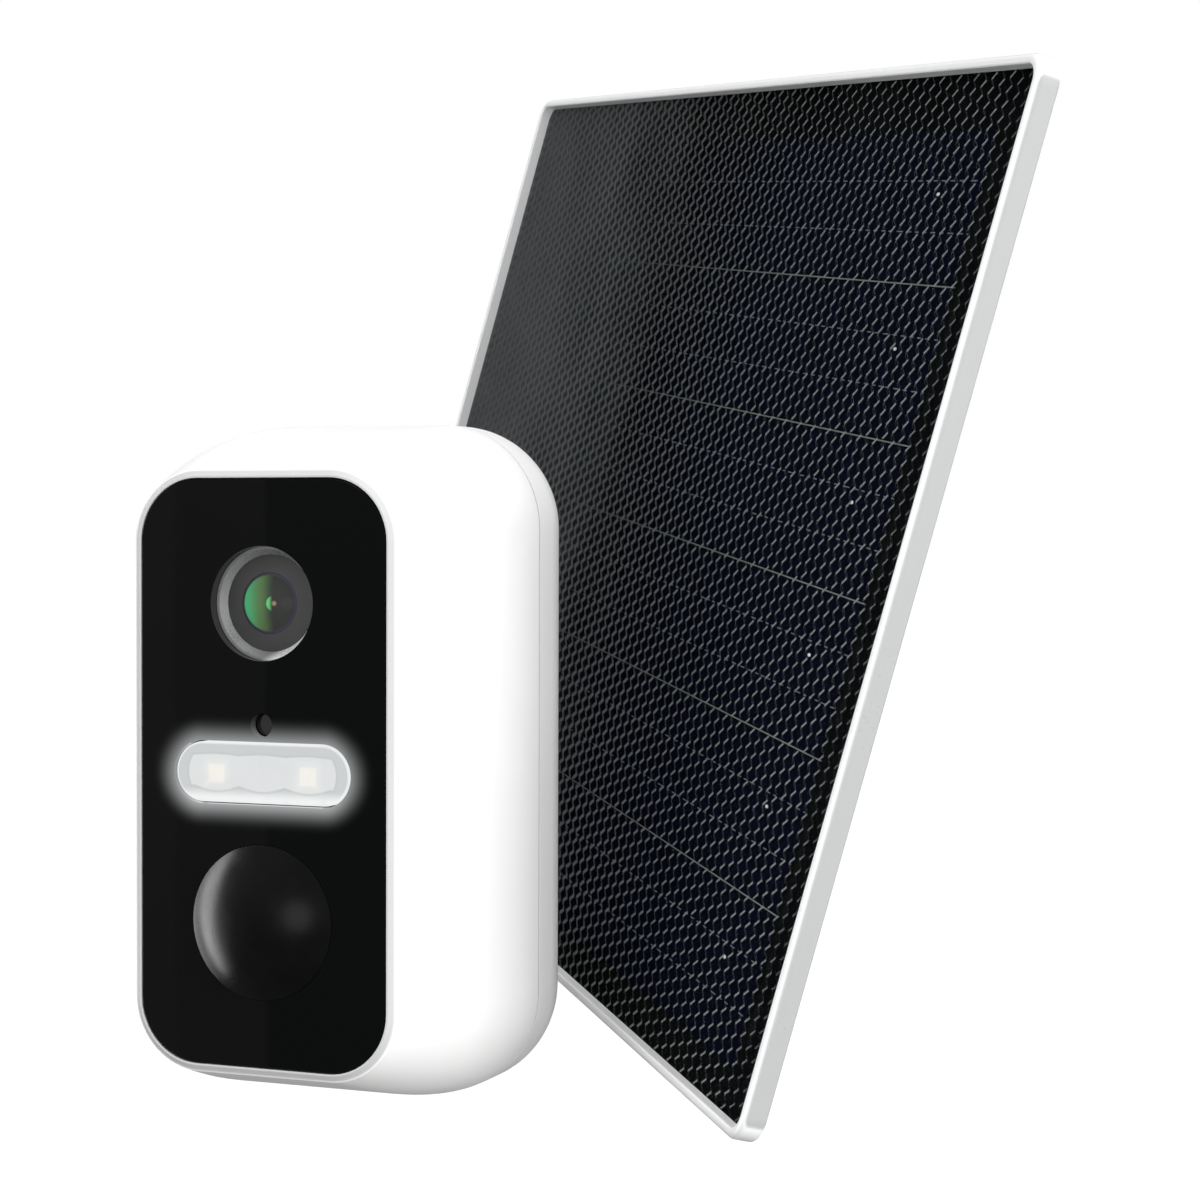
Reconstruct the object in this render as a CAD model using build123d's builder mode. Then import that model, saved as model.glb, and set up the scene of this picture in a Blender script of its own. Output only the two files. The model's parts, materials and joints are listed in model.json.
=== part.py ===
from build123d import *
import os
from math import atan2, degrees

# Battery security camera and its solar panel, carried side by side on one two-armed wall bracket.
#
# Row frame: millimetres, +Z up, the wall is the XZ plane, -Y points out into the open.
# The origin is the centre of the wall plate's back face.
# Three groups are modelled in frames of their own and placed once, when they are written:
#   camera  origin at the centre of the front glass, which faces -Y
#   panel   origin at the centre of the clear cover's face, which faces -Y
#   head    origin where a bracket head's pan axis (Z) and tilt axis (X) cross, stud towards -Y

# ---------------------------------------------------------------- driving dimensions

# camera housing: a rounded rectangle that flares out from the glass to the cover seam
FACE_WIDTH = 49.2
FACE_HEIGHT = 101.8
FACE_RADIUS = 12.3
FLARE = 8.5
FLARE_POWER = 1.55
SEAM_RADIUS = 18.5
SEAM_DEPTH = 40.6
SEAM_GAP = 0.35
BODY_DEPTH = 60
BACK_ROUND = 13
WALL = 2.2
RIM_WIDTH = 1.5
RIM_DROP = 0.9

# front glass and what shows through it: heights are from the glass centre
GLASS_THICKNESS = 1.6
GLASS_RADIUS = 10.6
LEDGE_DEPTH = 3.4
LENS_HEIGHT = 28.4
SENSOR_HEIGHT = 8.1
LIGHT_HEIGHT = 0.0
LIGHT_SIZE = (33.2, 10.6)
LED_PITCH = 8.6
PIR_HEIGHT = -24.9
PIR_RADIUS = 13.0
PIR_RISE = 4.0

# circuit boards and battery
BOARD_DEPTH = 22
BOARD_SIZE = (39, 92)
BOARD_THICKNESS = 1.2
STANDOFF = (16, 43)
MICROPHONE_DEPTH = 21
CELL_RADIUS = 9.2
CELL_LENGTH = 65
CELL_SPACING = 19.2
CELL_DEPTH = 37.5
BATTERY_HEIGHT = 16

# rear cover
SCREW_POST = (23, 49.5)
INSERT_HEIGHT = -38
INSERT_RADIUS = 5.0
INSERT_LENGTH = 12
STUD_RADIUS = 3.1
TAPPED_RADIUS = 3.175
PORT_HEIGHT = -19.5
PORT_SIZE = (28, 12.6)
PORT_DEPTH = 3
PORT_BOARD_DEPTH = 48
USB_PLACE = (-3.5, -18)
CARD_PLACE = (3, -22.9)
FLAP_PIVOT = (-12.3, 58.7)
FLAP_THICKNESS = 2.6
POWER_HEIGHT = 2
RESET_PLACE = (8.5, -17.3)
SPEAKER_HEIGHT = 36

# solar panel: depths are behind the face of the clear cover
OPENING = (261.4, 180)
BORDER = 1.9
CREST = 2.4
EDGE_DEPTH = 1.9
CORNER = 5
SHEET_INSET = 0.9
COVER_THICKNESS = 0.6
CELL_THICKNESS = 0.2
BACK_DEPTH = 5.5
PUCK_DEPTH = 14.3
CELL_COLUMNS = 2
CELL_ROWS = 6
COLUMN_PITCH = 118.2
ROW_PITCH = 27.3
CELL_GAP = 0.8
CELL_CENTRE = (-0.7, -1.4)
BOX_PLACE = (-49, -60)
BOX_SIZE = (44, 26)
BOX_DEPTH = 14

# bracket heads
REACH = 26
EYE_RADIUS = 6.5
EYE_WIDTH = 8
EAR_THICKNESS = 4
EAR_GAP = 0.2
BOLT_RADIUS = 2.5
RUNNING = 0.05
BASE_RADIUS = 10
BASE_TOP = -10
BASE_THICKNESS = 4.5
STUD_GRIP = 6.5
TIP_TOP = -14.7
TIP_HEIGHT = 10.2
TIP_RADIUS = 10
ARM_RADIUS = 5
ARM_WALL = 1.5
ARM_LEVEL = -20.2
FLANGE_RADIUS = 8

# where the groups stand, and how the panel is turned at rest
CAMERA_PIVOT = (50, -166, -13)
PANEL_PIVOT = (96.2, -98.9, 59.7)
PANEL_PAN = -47.9
PANEL_TILT = -13.6
PANEL_ROLL = 7.1

# wall plate
PLATE_SIZE = (80, 96)
PLATE_THICKNESS = 8
SCREW_SPACING = (62, 78)
SCREW_HOLE = 2.6
SOCKET_RADIUS = 8
SOCKET_LENGTH = 24
CAMERA_SOCKET = (-14, CAMERA_PIVOT[2] + ARM_LEVEL)
PANEL_SOCKET = (16, PANEL_PIVOT[2] + ARM_LEVEL)

camera_head = Location(CAMERA_PIVOT)
camera_place = camera_head * Location((0, -BODY_DEPTH - REACH, -INSERT_HEIGHT))
panel_head = Location(PANEL_PIVOT) * Location((0, 0, 0), (0, 0, PANEL_PAN))
panel_lug_place = panel_head * Location((0, 0, 0), (PANEL_TILT, 0, 0))
panel_place = (
    panel_lug_place
    * Location((0, 0, 0), (0, PANEL_ROLL, 0))
    * Location((0, -PUCK_DEPTH - REACH, 0))
)


def at_depth(depth):
    """Drawing plane parallel to a front face, that far behind it: x is right and y is up."""
    return Plane.XZ.offset(-depth)


def save(piece, name, place=Location()):
    """Label a finished piece and write it where it stands in the row frame."""
    piece.part.label = name
    export_step(piece.part.moved(place), f"parts/{name}.step")


def body_section(depth, inset=0.0):
    """Width, height and corner radius of the camera housing at a depth, drawn in by an inset."""
    share = max(0.0, min(1.0, (depth - RIM_DROP) / (SEAM_DEPTH - RIM_DROP)))
    growth = FLARE * (1 - (1 - share) ** FLARE_POWER)
    width = FACE_WIDTH + 2 * growth - 2 * inset
    height = FACE_HEIGHT + 2 * growth - 2 * inset
    radius = FACE_RADIUS + (SEAM_RADIUS - FACE_RADIUS) * share - inset
    return width, height, radius


def pill(width, height):
    """Slot outline in the current sketch, as wide and as high as given."""
    SlotOverall(width, height)


os.makedirs("parts", exist_ok=True)

# ---------------------------------------------------------------- camera housing

glass_size = (FACE_WIDTH - 2 * RIM_WIDTH - 0.2, FACE_HEIGHT - 2 * RIM_WIDTH - 0.2)
seat_size = (FACE_WIDTH - 2 * RIM_WIDTH, FACE_HEIGHT - 2 * RIM_WIDTH)
ledge_opening = (41, 93.6)
flare_stations = (RIM_DROP, 7, 14, 22, 31, SEAM_DEPTH)
cavity_stations = (LEDGE_DEPTH, 9, 15, 22, 31, SEAM_DEPTH)

# White shell: a bevelled rim, flaring walls, a seat for the glass, four screw bosses and a
# microphone hole in the underside.
with BuildPart() as main_housing:
    with BuildSketch(at_depth(0)):
        RectangleRounded(seat_size[0] + 0.6, seat_size[1] + 0.6, GLASS_RADIUS + 0.4)
    with BuildSketch(at_depth(RIM_DROP)):
        RectangleRounded(*body_section(RIM_DROP))
    loft(ruled=True)
    for depth in flare_stations:
        with BuildSketch(at_depth(depth)):
            RectangleRounded(*body_section(depth))
    loft()
    for depth in cavity_stations:
        with BuildSketch(at_depth(depth)):
            RectangleRounded(*body_section(depth, WALL))
    loft(mode=Mode.SUBTRACT)
    with BuildSketch(at_depth(0)):
        RectangleRounded(*seat_size, GLASS_RADIUS + 0.1)
    extrude(amount=-(GLASS_THICKNESS + 0.05), mode=Mode.SUBTRACT)
    with BuildSketch(at_depth(GLASS_THICKNESS)):
        RectangleRounded(*ledge_opening, 8.2)
    extrude(amount=-(LEDGE_DEPTH - GLASS_THICKNESS), mode=Mode.SUBTRACT)
    with BuildSketch(at_depth(22)):
        with GridLocations(2 * SCREW_POST[0], 2 * SCREW_POST[1], 2, 2):
            Circle(3.2)
    extrude(amount=-(SEAM_DEPTH - 22))
    with BuildSketch(at_depth(SEAM_DEPTH)):
        with GridLocations(2 * SCREW_POST[0], 2 * SCREW_POST[1], 2, 2):
            Circle(1.0)
    extrude(amount=11, mode=Mode.SUBTRACT)
    with BuildSketch(Plane.XY.offset(-FACE_HEIGHT / 2 - 11)):
        with Locations((0, MICROPHONE_DEPTH)):
            Circle(0.6)
    extrude(amount=10, mode=Mode.SUBTRACT)
save(main_housing, "main_housing", camera_place)

# Black front glass with the four openings and a small bevel round its face.
with BuildPart() as front_glass:
    with BuildSketch(at_depth(0)):
        RectangleRounded(*glass_size, GLASS_RADIUS)
    extrude(amount=-GLASS_THICKNESS)
    chamfer(front_glass.faces().sort_by(Axis.Y)[0].edges(), 0.25)
    with BuildSketch(at_depth(0)):
        with Locations((0, LENS_HEIGHT)):
            Circle(9.6)
        with Locations((0, SENSOR_HEIGHT)):
            Circle(2.0)
        with Locations((0, LIGHT_HEIGHT)):
            pill(*LIGHT_SIZE)
        with Locations((0, PIR_HEIGHT)):
            Circle(PIR_RADIUS + 0.1)
    extrude(amount=-GLASS_THICKNESS, mode=Mode.SUBTRACT)
save(front_glass, "front_glass", camera_place)

# Black inner frame behind the glass: it holds the lens, the light and the motion sensor.
with BuildPart() as front_frame:
    with BuildSketch(at_depth(LEDGE_DEPTH)):
        RectangleRounded(46.1, 98.7, 10.6)
    extrude(amount=-2)
    with BuildSketch(at_depth(GLASS_THICKNESS + 0.05)):
        RectangleRounded(ledge_opening[0] - 0.4, ledge_opening[1] - 0.4, 8)
    extrude(amount=-(LEDGE_DEPTH - GLASS_THICKNESS - 0.05))
    with BuildSketch(at_depth(5.4)):
        with Locations((0, LIGHT_HEIGHT)):
            pill(36.6, 13.6)
    extrude(amount=-3.8)
    with BuildSketch(at_depth(5.4)):
        with GridLocations(2 * STANDOFF[0], 2 * STANDOFF[1], 2, 2):
            Circle(2.4)
    extrude(amount=-(BOARD_DEPTH - 5.4))
    with BuildSketch(at_depth(GLASS_THICKNESS)):
        with Locations((0, LENS_HEIGHT)):
            Circle(7.2)
        with Locations((0, SENSOR_HEIGHT)):
            Circle(2.3)
        with Locations((0, LIGHT_HEIGHT)):
            pill(33, 10.4)
        with Locations((0, PIR_HEIGHT)):
            Circle(12.6)
    extrude(amount=-8, mode=Mode.SUBTRACT)
    with BuildSketch(at_depth(GLASS_THICKNESS)):
        with Locations((0, LENS_HEIGHT)):
            Circle(9.7)
    extrude(amount=-3.05, mode=Mode.SUBTRACT)
    with BuildSketch(at_depth(GLASS_THICKNESS)):
        with Locations((0, PIR_HEIGHT)):
            Circle(13.85)
    extrude(amount=-1.15, mode=Mode.SUBTRACT)
    with BuildSketch(at_depth(BOARD_DEPTH)):
        with GridLocations(2 * STANDOFF[0], 2 * STANDOFF[1], 2, 2):
            Circle(0.8)
    extrude(amount=9, mode=Mode.SUBTRACT)
save(front_frame, "front_frame", camera_place)

# ---------------------------------------------------------------- lens and image sensor

lens_axis = Axis((0, 0, LENS_HEIGHT), (0, 1, 0))
lens_plane = Plane.XY.offset(LENS_HEIGHT)


def turned(points, plane, axis):
    """Ring or disc turned about an axis from the (radius, depth) points of its section."""
    with BuildPart() as piece:
        with BuildSketch(plane):
            with BuildLine():
                Polyline(*points, close=True)
            make_face()
        revolve(axis=axis)
    return piece


# Light conical ring round the lens recess.
lens_ring = turned(
    [(9.1, 2.05), (9.6, 2.05), (9.6, 4.6), (8.15, 4.6), (8.15, 3.3)], lens_plane, lens_axis
)
save(lens_ring, "lens_ring", camera_place)

# Dark lens barrel: a slightly coned front disc, a body and a fine-threaded tail.
lens_barrel = turned(
    [
        (5.15, 2.9),
        (8.1, 3.3),
        (8.1, 4.6),
        (7, 4.6),
        (7, 12),
        (6, 12),
        (6, 19.5),
        (3.6, 19.5),
        (3.6, 6.5),
        (5.15, 6.5),
    ],
    lens_plane,
    lens_axis,
)
save(lens_barrel, "lens_barrel", camera_place)


def cap_radius(radius, rise):
    """Sphere radius of a cap from the radius of its rim and its rise."""
    return (radius**2 + rise**2) / (2 * rise)


def turned_lens(radius, front, edge_front, edge_back, back):
    """Glass element from its edge radius and the depths of its two poles and its edge."""
    with BuildPart() as element:
        with BuildSketch(lens_plane):
            with BuildLine():
                RadiusArc((0, front), (radius, edge_front), -cap_radius(radius, edge_front - front))
                Line((radius, edge_front), (radius, edge_back))
                RadiusArc((radius, edge_back), (0, back), -cap_radius(radius, back - edge_back))
                Line((0, back), (0, front))
            make_face()
        revolve(axis=lens_axis)
    return element


front_lens = turned_lens(5.1, 1.7, 3.0, 5.2, 5.9)
save(front_lens, "front_lens", camera_place)

# Square holder on the main board that the barrel screws into.
with BuildPart() as lens_holder:
    with BuildSketch(at_depth(14)):
        with Locations((0, LENS_HEIGHT)):
            RectangleRounded(15, 15, 1.5)
            Circle(6.05, mode=Mode.SUBTRACT)
    extrude(amount=-(BOARD_DEPTH - 14))
    with BuildSketch(at_depth(BOARD_DEPTH)):
        with Locations((0, LENS_HEIGHT)):
            Rectangle(12.4, 12.4)
    extrude(amount=1.6, mode=Mode.SUBTRACT)
save(lens_holder, "lens_holder", camera_place)

with BuildPart() as image_sensor:
    with BuildSketch(at_depth(BOARD_DEPTH)):
        with Locations((0, LENS_HEIGHT)):
            Rectangle(9.4, 9.4)
    extrude(amount=1.2)
save(image_sensor, "image_sensor", camera_place)

# Light sensor: a small clear window behind its hole in the glass.
with BuildPart() as light_sensor:
    with BuildSketch(at_depth(1.7)):
        with Locations((0, SENSOR_HEIGHT)):
            Circle(2.2)
    extrude(amount=-2.8)
    chamfer(light_sensor.faces().sort_by(Axis.Y)[0].edges(), 0.5)
save(light_sensor, "light_sensor", camera_place)

# ---------------------------------------------------------------- spotlight

# Frosted cover, a shallow dish that closes the slot in the glass.
with BuildPart() as light_cover:
    with BuildSketch(at_depth(0.1)):
        with Locations((0, LIGHT_HEIGHT)):
            pill(32.7, 10.1)
    extrude(amount=-2.9)
    fillet(light_cover.faces().sort_by(Axis.Y)[0].edges(), 0.6)
    with BuildSketch(at_depth(3)):
        with Locations((0, LIGHT_HEIGHT)):
            pill(30.7, 8.1)
    extrude(amount=1.7, mode=Mode.SUBTRACT)
save(light_cover, "light_cover", camera_place)

# Reflector with one cone for each emitter.
with BuildPart() as reflector:
    with BuildSketch(at_depth(3.1)):
        with Locations((0, LIGHT_HEIGHT)):
            pill(32.7, 10.1)
    extrude(amount=-6)
    with BuildSketch(at_depth(3.1)):
        with Locations((0, LIGHT_HEIGHT)):
            with GridLocations(LED_PITCH, 0, 3, 1):
                Circle(4.2)
    extrude(amount=-6, taper=21, mode=Mode.SUBTRACT)
save(reflector, "reflector", camera_place)

with BuildPart() as light_leds:
    with BuildSketch(at_depth(9.2)):
        with Locations((0, LIGHT_HEIGHT)):
            with GridLocations(LED_PITCH, 0, 3, 1):
                Rectangle(2.5, 2.5)
    extrude(amount=0.7)
save(light_leds, "light_leds", camera_place)

with BuildPart() as light_board:
    with BuildSketch(at_depth(9.2)):
        with Locations((0, LIGHT_HEIGHT)):
            RectangleRounded(38, 14.4, 2)
    extrude(amount=-1)
save(light_board, "light_board", camera_place)

# ---------------------------------------------------------------- motion sensor

pir_axis = Axis((0, 0, PIR_HEIGHT), (0, 1, 0))
pir_plane = Plane.XY.offset(PIR_HEIGHT)

# Shallow dome with a flange held behind the glass.
with BuildPart() as pir_lens:
    with BuildSketch(pir_plane):
        with BuildLine():
            RadiusArc((0, -PIR_RISE), (PIR_RADIUS, 0), -cap_radius(PIR_RADIUS, PIR_RISE))
            Polyline(
                (PIR_RADIUS, 0),
                (PIR_RADIUS, 1.7),
                (13.75, 1.7),
                (13.75, 2.7),
                (12, 2.7),
                (12, 1.7),
            )
            RadiusArc((12, 1.7), (0, 1 - PIR_RISE), cap_radius(12, PIR_RISE + 0.7))
            Line((0, 1 - PIR_RISE), (0, -PIR_RISE))
        make_face()
    revolve(axis=pir_axis)
save(pir_lens, "pir_lens", camera_place)

# Metal can with a window, on a spacer that stands on the main board.
with BuildPart() as pir_sensor:
    with BuildSketch(at_depth(8)):
        with Locations((0, PIR_HEIGHT)):
            Circle(4.1)
    extrude(amount=-4)
    with BuildSketch(at_depth(11.2)):
        with Locations((0, PIR_HEIGHT)):
            Circle(4.7)
    extrude(amount=-0.8)
    with BuildSketch(at_depth(8)):
        with Locations((0, PIR_HEIGHT)):
            Rectangle(4.4, 3)
    extrude(amount=-0.2, mode=Mode.SUBTRACT)
    with BuildSketch(at_depth(12)):
        with Locations((0, PIR_HEIGHT)):
            with PolarLocations(2.5, 3):
                Circle(0.25)
    extrude(amount=-(BOARD_DEPTH - 12))
save(pir_sensor, "pir_sensor", camera_place)

# ---------------------------------------------------------------- boards and battery

board_back = BOARD_DEPTH + BOARD_THICKNESS

# Main board with its packages and antenna on the back and a microphone low on the front.
with BuildPart() as main_board:
    with BuildSketch(at_depth(BOARD_DEPTH)):
        RectangleRounded(*BOARD_SIZE, 2)
        with GridLocations(2 * STANDOFF[0], 2 * STANDOFF[1], 2, 2):
            Circle(1.1, mode=Mode.SUBTRACT)
    extrude(amount=-BOARD_THICKNESS)
    with BuildSketch(at_depth(board_back)):
        with Locations((0, 12)):
            Rectangle(14, 14)
        with Locations((-9, -14)):
            Rectangle(11, 8)
        with Locations((8, -30)):
            Rectangle(16, 13)
        with Locations((0, 42)):
            RectangleRounded(22, 6, 1)
    extrude(amount=-1.3)
    with BuildSketch(at_depth(BOARD_DEPTH)):
        with Locations((0, -43)):
            Circle(2)
    extrude(amount=1.6)
save(main_board, "main_board", camera_place)

cell_bottom = BATTERY_HEIGHT - CELL_LENGTH / 2

# Two lithium cells side by side, each with its raised pole, one up and one down.
with BuildPart() as battery_cells:
    with BuildSketch(Plane.XY.offset(cell_bottom)):
        with Locations((0, CELL_DEPTH)):
            with GridLocations(CELL_SPACING, 0, 2, 1):
                Circle(CELL_RADIUS)
    extrude(amount=CELL_LENGTH)
    with BuildSketch(Plane.XY.offset(cell_bottom + CELL_LENGTH)):
        with Locations((-CELL_SPACING / 2, CELL_DEPTH)):
            Circle(2.8)
    extrude(amount=0.8)
    with BuildSketch(Plane.XY.offset(cell_bottom)):
        with Locations((CELL_SPACING / 2, CELL_DEPTH)):
            Circle(2.8)
    extrude(amount=-0.8)
save(battery_cells, "battery_cells", camera_place)

# Open tray for the cells: a base plate, two end walls, two side walls and four feet.
tray_width = 39.6
tray_height = CELL_LENGTH + 5.2
with BuildPart() as battery_holder:
    with BuildSketch(at_depth(26.6)):
        with Locations((0, BATTERY_HEIGHT)):
            Rectangle(tray_width, tray_height)
    extrude(amount=-1.5)
    with BuildSketch(at_depth(28.1)):
        with Locations((0, BATTERY_HEIGHT)):
            with GridLocations(0, tray_height - 1.5, 1, 2):
                Rectangle(tray_width, 1.5)
    extrude(amount=-11.9)
    with BuildSketch(at_depth(28.1)):
        with Locations((0, BATTERY_HEIGHT)):
            with GridLocations(tray_width - 0.8, 0, 2, 1):
                Rectangle(0.8, tray_height)
    extrude(amount=-8)
    with BuildSketch(at_depth(board_back)):
        with Locations((0, BATTERY_HEIGHT)):
            with GridLocations(34, 30, 2, 2):
                Circle(1.4)
    extrude(amount=-(26.6 - board_back))
save(battery_holder, "battery_holder", camera_place)

# ---------------------------------------------------------------- rear cover

cover_front = SEAM_DEPTH + SEAM_GAP
seam_section = body_section(SEAM_DEPTH)
inner_section = body_section(SEAM_DEPTH, WALL)

# Outer form of the rear cover: straight sides and a generous round to the flat back.
with BuildPart() as cover_form:
    with BuildSketch(at_depth(cover_front)):
        RectangleRounded(*seam_section)
    extrude(amount=-(BODY_DEPTH - cover_front))
    fillet(cover_form.faces().sort_by(Axis.Y)[-1].edges(), BACK_ROUND)

# Hollow of the rear cover.
with BuildPart() as cover_hollow:
    with BuildSketch(at_depth(cover_front)):
        RectangleRounded(*inner_section)
    extrude(amount=-(BODY_DEPTH - WALL - cover_front))
    fillet(cover_hollow.faces().sort_by(Axis.Y)[-1].edges(), BACK_ROUND - WALL)

# White rear cover: shell, screw posts, boss of the threaded insert, port recess, grille.
with BuildPart() as rear_cover:
    add(cover_form.part)
    add(cover_hollow.part, mode=Mode.SUBTRACT)
    with BuildSketch(at_depth(cover_front + 0.1)):
        with GridLocations(2 * SCREW_POST[0], 2 * SCREW_POST[1], 2, 2):
            Circle(4.2)
    extrude(amount=-(BODY_DEPTH - cover_front))
    with BuildSketch(at_depth(47.5)):
        with Locations((0, INSERT_HEIGHT)):
            Circle(8.2)
    extrude(amount=-(BODY_DEPTH - 48))
    with BuildSketch(at_depth(54.8)):
        with Locations((0, PORT_HEIGHT)):
            Rectangle(PORT_SIZE[0] + 4, PORT_SIZE[1] + 4)
    extrude(amount=-4)
    add(cover_form.part, mode=Mode.INTERSECT)
    with BuildSketch(at_depth(BODY_DEPTH + 1)):
        with GridLocations(2 * SCREW_POST[0], 2 * SCREW_POST[1], 2, 2):
            Circle(2.6)
    extrude(amount=9, mode=Mode.SUBTRACT)
    with BuildSketch(at_depth(BODY_DEPTH)):
        with GridLocations(2 * SCREW_POST[0], 2 * SCREW_POST[1], 2, 2):
            Circle(1.35)
        with Locations((0, INSERT_HEIGHT)):
            Circle(INSERT_RADIUS)
        with Locations((0, POWER_HEIGHT)):
            Circle(4.05)
        with Locations((0, SPEAKER_HEIGHT)):
            Circle(0.8)
            with PolarLocations(3.4, 6):
                Circle(0.8)
    extrude(amount=BODY_DEPTH - cover_front, mode=Mode.SUBTRACT)
    with BuildSketch(at_depth(BODY_DEPTH)):
        with Locations((0, PORT_HEIGHT)):
            RectangleRounded(*PORT_SIZE, 0.5)
    extrude(amount=PORT_DEPTH, mode=Mode.SUBTRACT)
    with BuildSketch(at_depth(BODY_DEPTH)):
        with Locations(USB_PLACE):
            pill(9.4, 3.6)
        with Locations(CARD_PLACE):
            Rectangle(12, 1.7)
        with Locations(RESET_PLACE):
            Circle(1.55)
    extrude(amount=8, mode=Mode.SUBTRACT)
    with BuildSketch(Plane.XY.offset(PORT_HEIGHT - 7.6)):
        with Locations(FLAP_PIVOT):
            Circle(0.6)
    extrude(amount=15.2, mode=Mode.SUBTRACT)
save(rear_cover, "rear_cover", camera_place)

# Flat rubber seal in the seam, almost flush with the outside, where it shows as a fine dark line.
with BuildPart() as housing_seal:
    with BuildSketch(at_depth(SEAM_DEPTH)):
        RectangleRounded(seam_section[0] - 0.2, seam_section[1] - 0.2, SEAM_RADIUS - 0.1)
        RectangleRounded(
            inner_section[0] + 0.4, inner_section[1] + 0.4, inner_section[2] + 0.2, mode=Mode.SUBTRACT
        )
    extrude(amount=-SEAM_GAP)
save(housing_seal, "housing_seal", camera_place)

# Four long screws from the back of the cover into the bosses of the main housing.
with BuildPart() as housing_screws:
    with BuildSketch(at_depth(52)):
        with GridLocations(2 * SCREW_POST[0], 2 * SCREW_POST[1], 2, 2):
            Circle(2.3)
    extrude(amount=-1.8)
    with BuildSketch(at_depth(52)):
        with GridLocations(2 * SCREW_POST[0], 2 * SCREW_POST[1], 2, 2):
            Circle(1.0)
    extrude(amount=21)
    with BuildSketch(at_depth(53.8)):
        with GridLocations(2 * SCREW_POST[0], 2 * SCREW_POST[1], 2, 2):
            RegularPolygon(1.2, 6)
    extrude(amount=1, mode=Mode.SUBTRACT)
save(housing_screws, "housing_screws", camera_place)


def threaded_insert(length):
    """Brass insert with a blind hole for the bracket's stud, its mouth at depth 0."""
    with BuildPart() as insert:
        with BuildSketch(at_depth(0)):
            Circle(INSERT_RADIUS)
        extrude(amount=length)
        with BuildSketch(at_depth(0)):
            Circle(TAPPED_RADIUS)
        extrude(amount=length - 1, mode=Mode.SUBTRACT)
    return insert


tripod_insert = threaded_insert(INSERT_LENGTH)
save(tripod_insert, "tripod_insert", camera_place * Location((0, BODY_DEPTH, INSERT_HEIGHT)))

with BuildPart() as speaker:
    with BuildSketch(at_depth(BODY_DEPTH - WALL)):
        with Locations((0, SPEAKER_HEIGHT)):
            Circle(9)
    extrude(amount=2)
    with BuildSketch(at_depth(BODY_DEPTH - WALL - 2)):
        with Locations((0, SPEAKER_HEIGHT)):
            Circle(5.5)
    extrude(amount=3)
save(speaker, "speaker", camera_place)

# ---------------------------------------------------------------- ports and buttons

port_board_back = PORT_BOARD_DEPTH + BOARD_THICKNESS

# Board behind the ports, with a small push switch under each button.
with BuildPart() as port_board:
    with BuildSketch(at_depth(PORT_BOARD_DEPTH)):
        with Locations((0, -9)):
            RectangleRounded(30, 34, 1)
    extrude(amount=-BOARD_THICKNESS)
    for place, height in (((0, POWER_HEIGHT), 4.6), (RESET_PLACE, 3.6)):
        with BuildSketch(at_depth(port_board_back)):
            with Locations(place):
                Rectangle(4.5, 4.5)
        extrude(amount=-(height - 0.8))
        with BuildSketch(at_depth(port_board_back + height - 0.8)):
            with Locations(place):
                Circle(1.2)
        extrude(amount=-0.8)
save(port_board, "port_board", camera_place)


def usb_receptacle(length):
    """Metal shell of a reversible charging socket with its tongue, mouth at depth 0."""
    with BuildPart() as socket:
        with BuildSketch(at_depth(0)):
            pill(9, 3.2)
        extrude(amount=length)
        with BuildSketch(at_depth(0)):
            pill(8.4, 2.6)
        extrude(amount=length - 1.2, mode=Mode.SUBTRACT)
        with BuildSketch(at_depth(-1.2)):
            Rectangle(6.2, 0.7)
        extrude(amount=length - 2.4)
    return socket


usb_length = 7.6
usb_mouth = Location((USB_PLACE[0], port_board_back + usb_length, USB_PLACE[1]))
usb_socket = usb_receptacle(usb_length)
save(usb_socket, "usb_socket", camera_place * usb_mouth)

# Memory card socket on the port board, its mouth behind the slot in the port recess.
with BuildPart() as card_slot:
    with BuildSketch(at_depth(port_board_back)):
        with Locations(CARD_PLACE):
            Rectangle(13.4, 2.6)
    extrude(amount=-(54.7 - port_board_back))
    with BuildSketch(at_depth(54.7)):
        with Locations(CARD_PLACE):
            Rectangle(11.2, 1)
    extrude(amount=4.7, mode=Mode.SUBTRACT)
save(card_slot, "card_slot", camera_place)

# Power button: a cap in the cover with a flange that keeps it in and a stem to the switch.
with BuildPart() as power_button:
    with BuildSketch(at_depth(BODY_DEPTH + 0.4)):
        with Locations((0, POWER_HEIGHT)):
            Circle(4.0)
    extrude(amount=3.4)
    fillet(power_button.faces().sort_by(Axis.Y)[-1].edges(), 0.4)
    with BuildSketch(at_depth(57.6)):
        with Locations((0, POWER_HEIGHT)):
            Circle(5.2)
    extrude(amount=1.1)
    with BuildSketch(at_depth(56.5)):
        with Locations((0, POWER_HEIGHT)):
            Circle(1.5)
    extrude(amount=1.6)
save(power_button, "power_button", camera_place)

# Reset button: a thin pin in the floor of the port recess.
with BuildPart() as reset_button:
    with BuildSketch(at_depth(57.1)):
        with Locations(RESET_PLACE):
            Circle(1.5)
    extrude(amount=2.9)
    with BuildSketch(at_depth(54.6)):
        with Locations(RESET_PLACE):
            Circle(2.4)
    extrude(amount=0.8)
save(reset_button, "reset_button", camera_place)

flap_floor = FLAP_PIVOT[1] - FLAP_THICKNESS / 2

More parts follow.
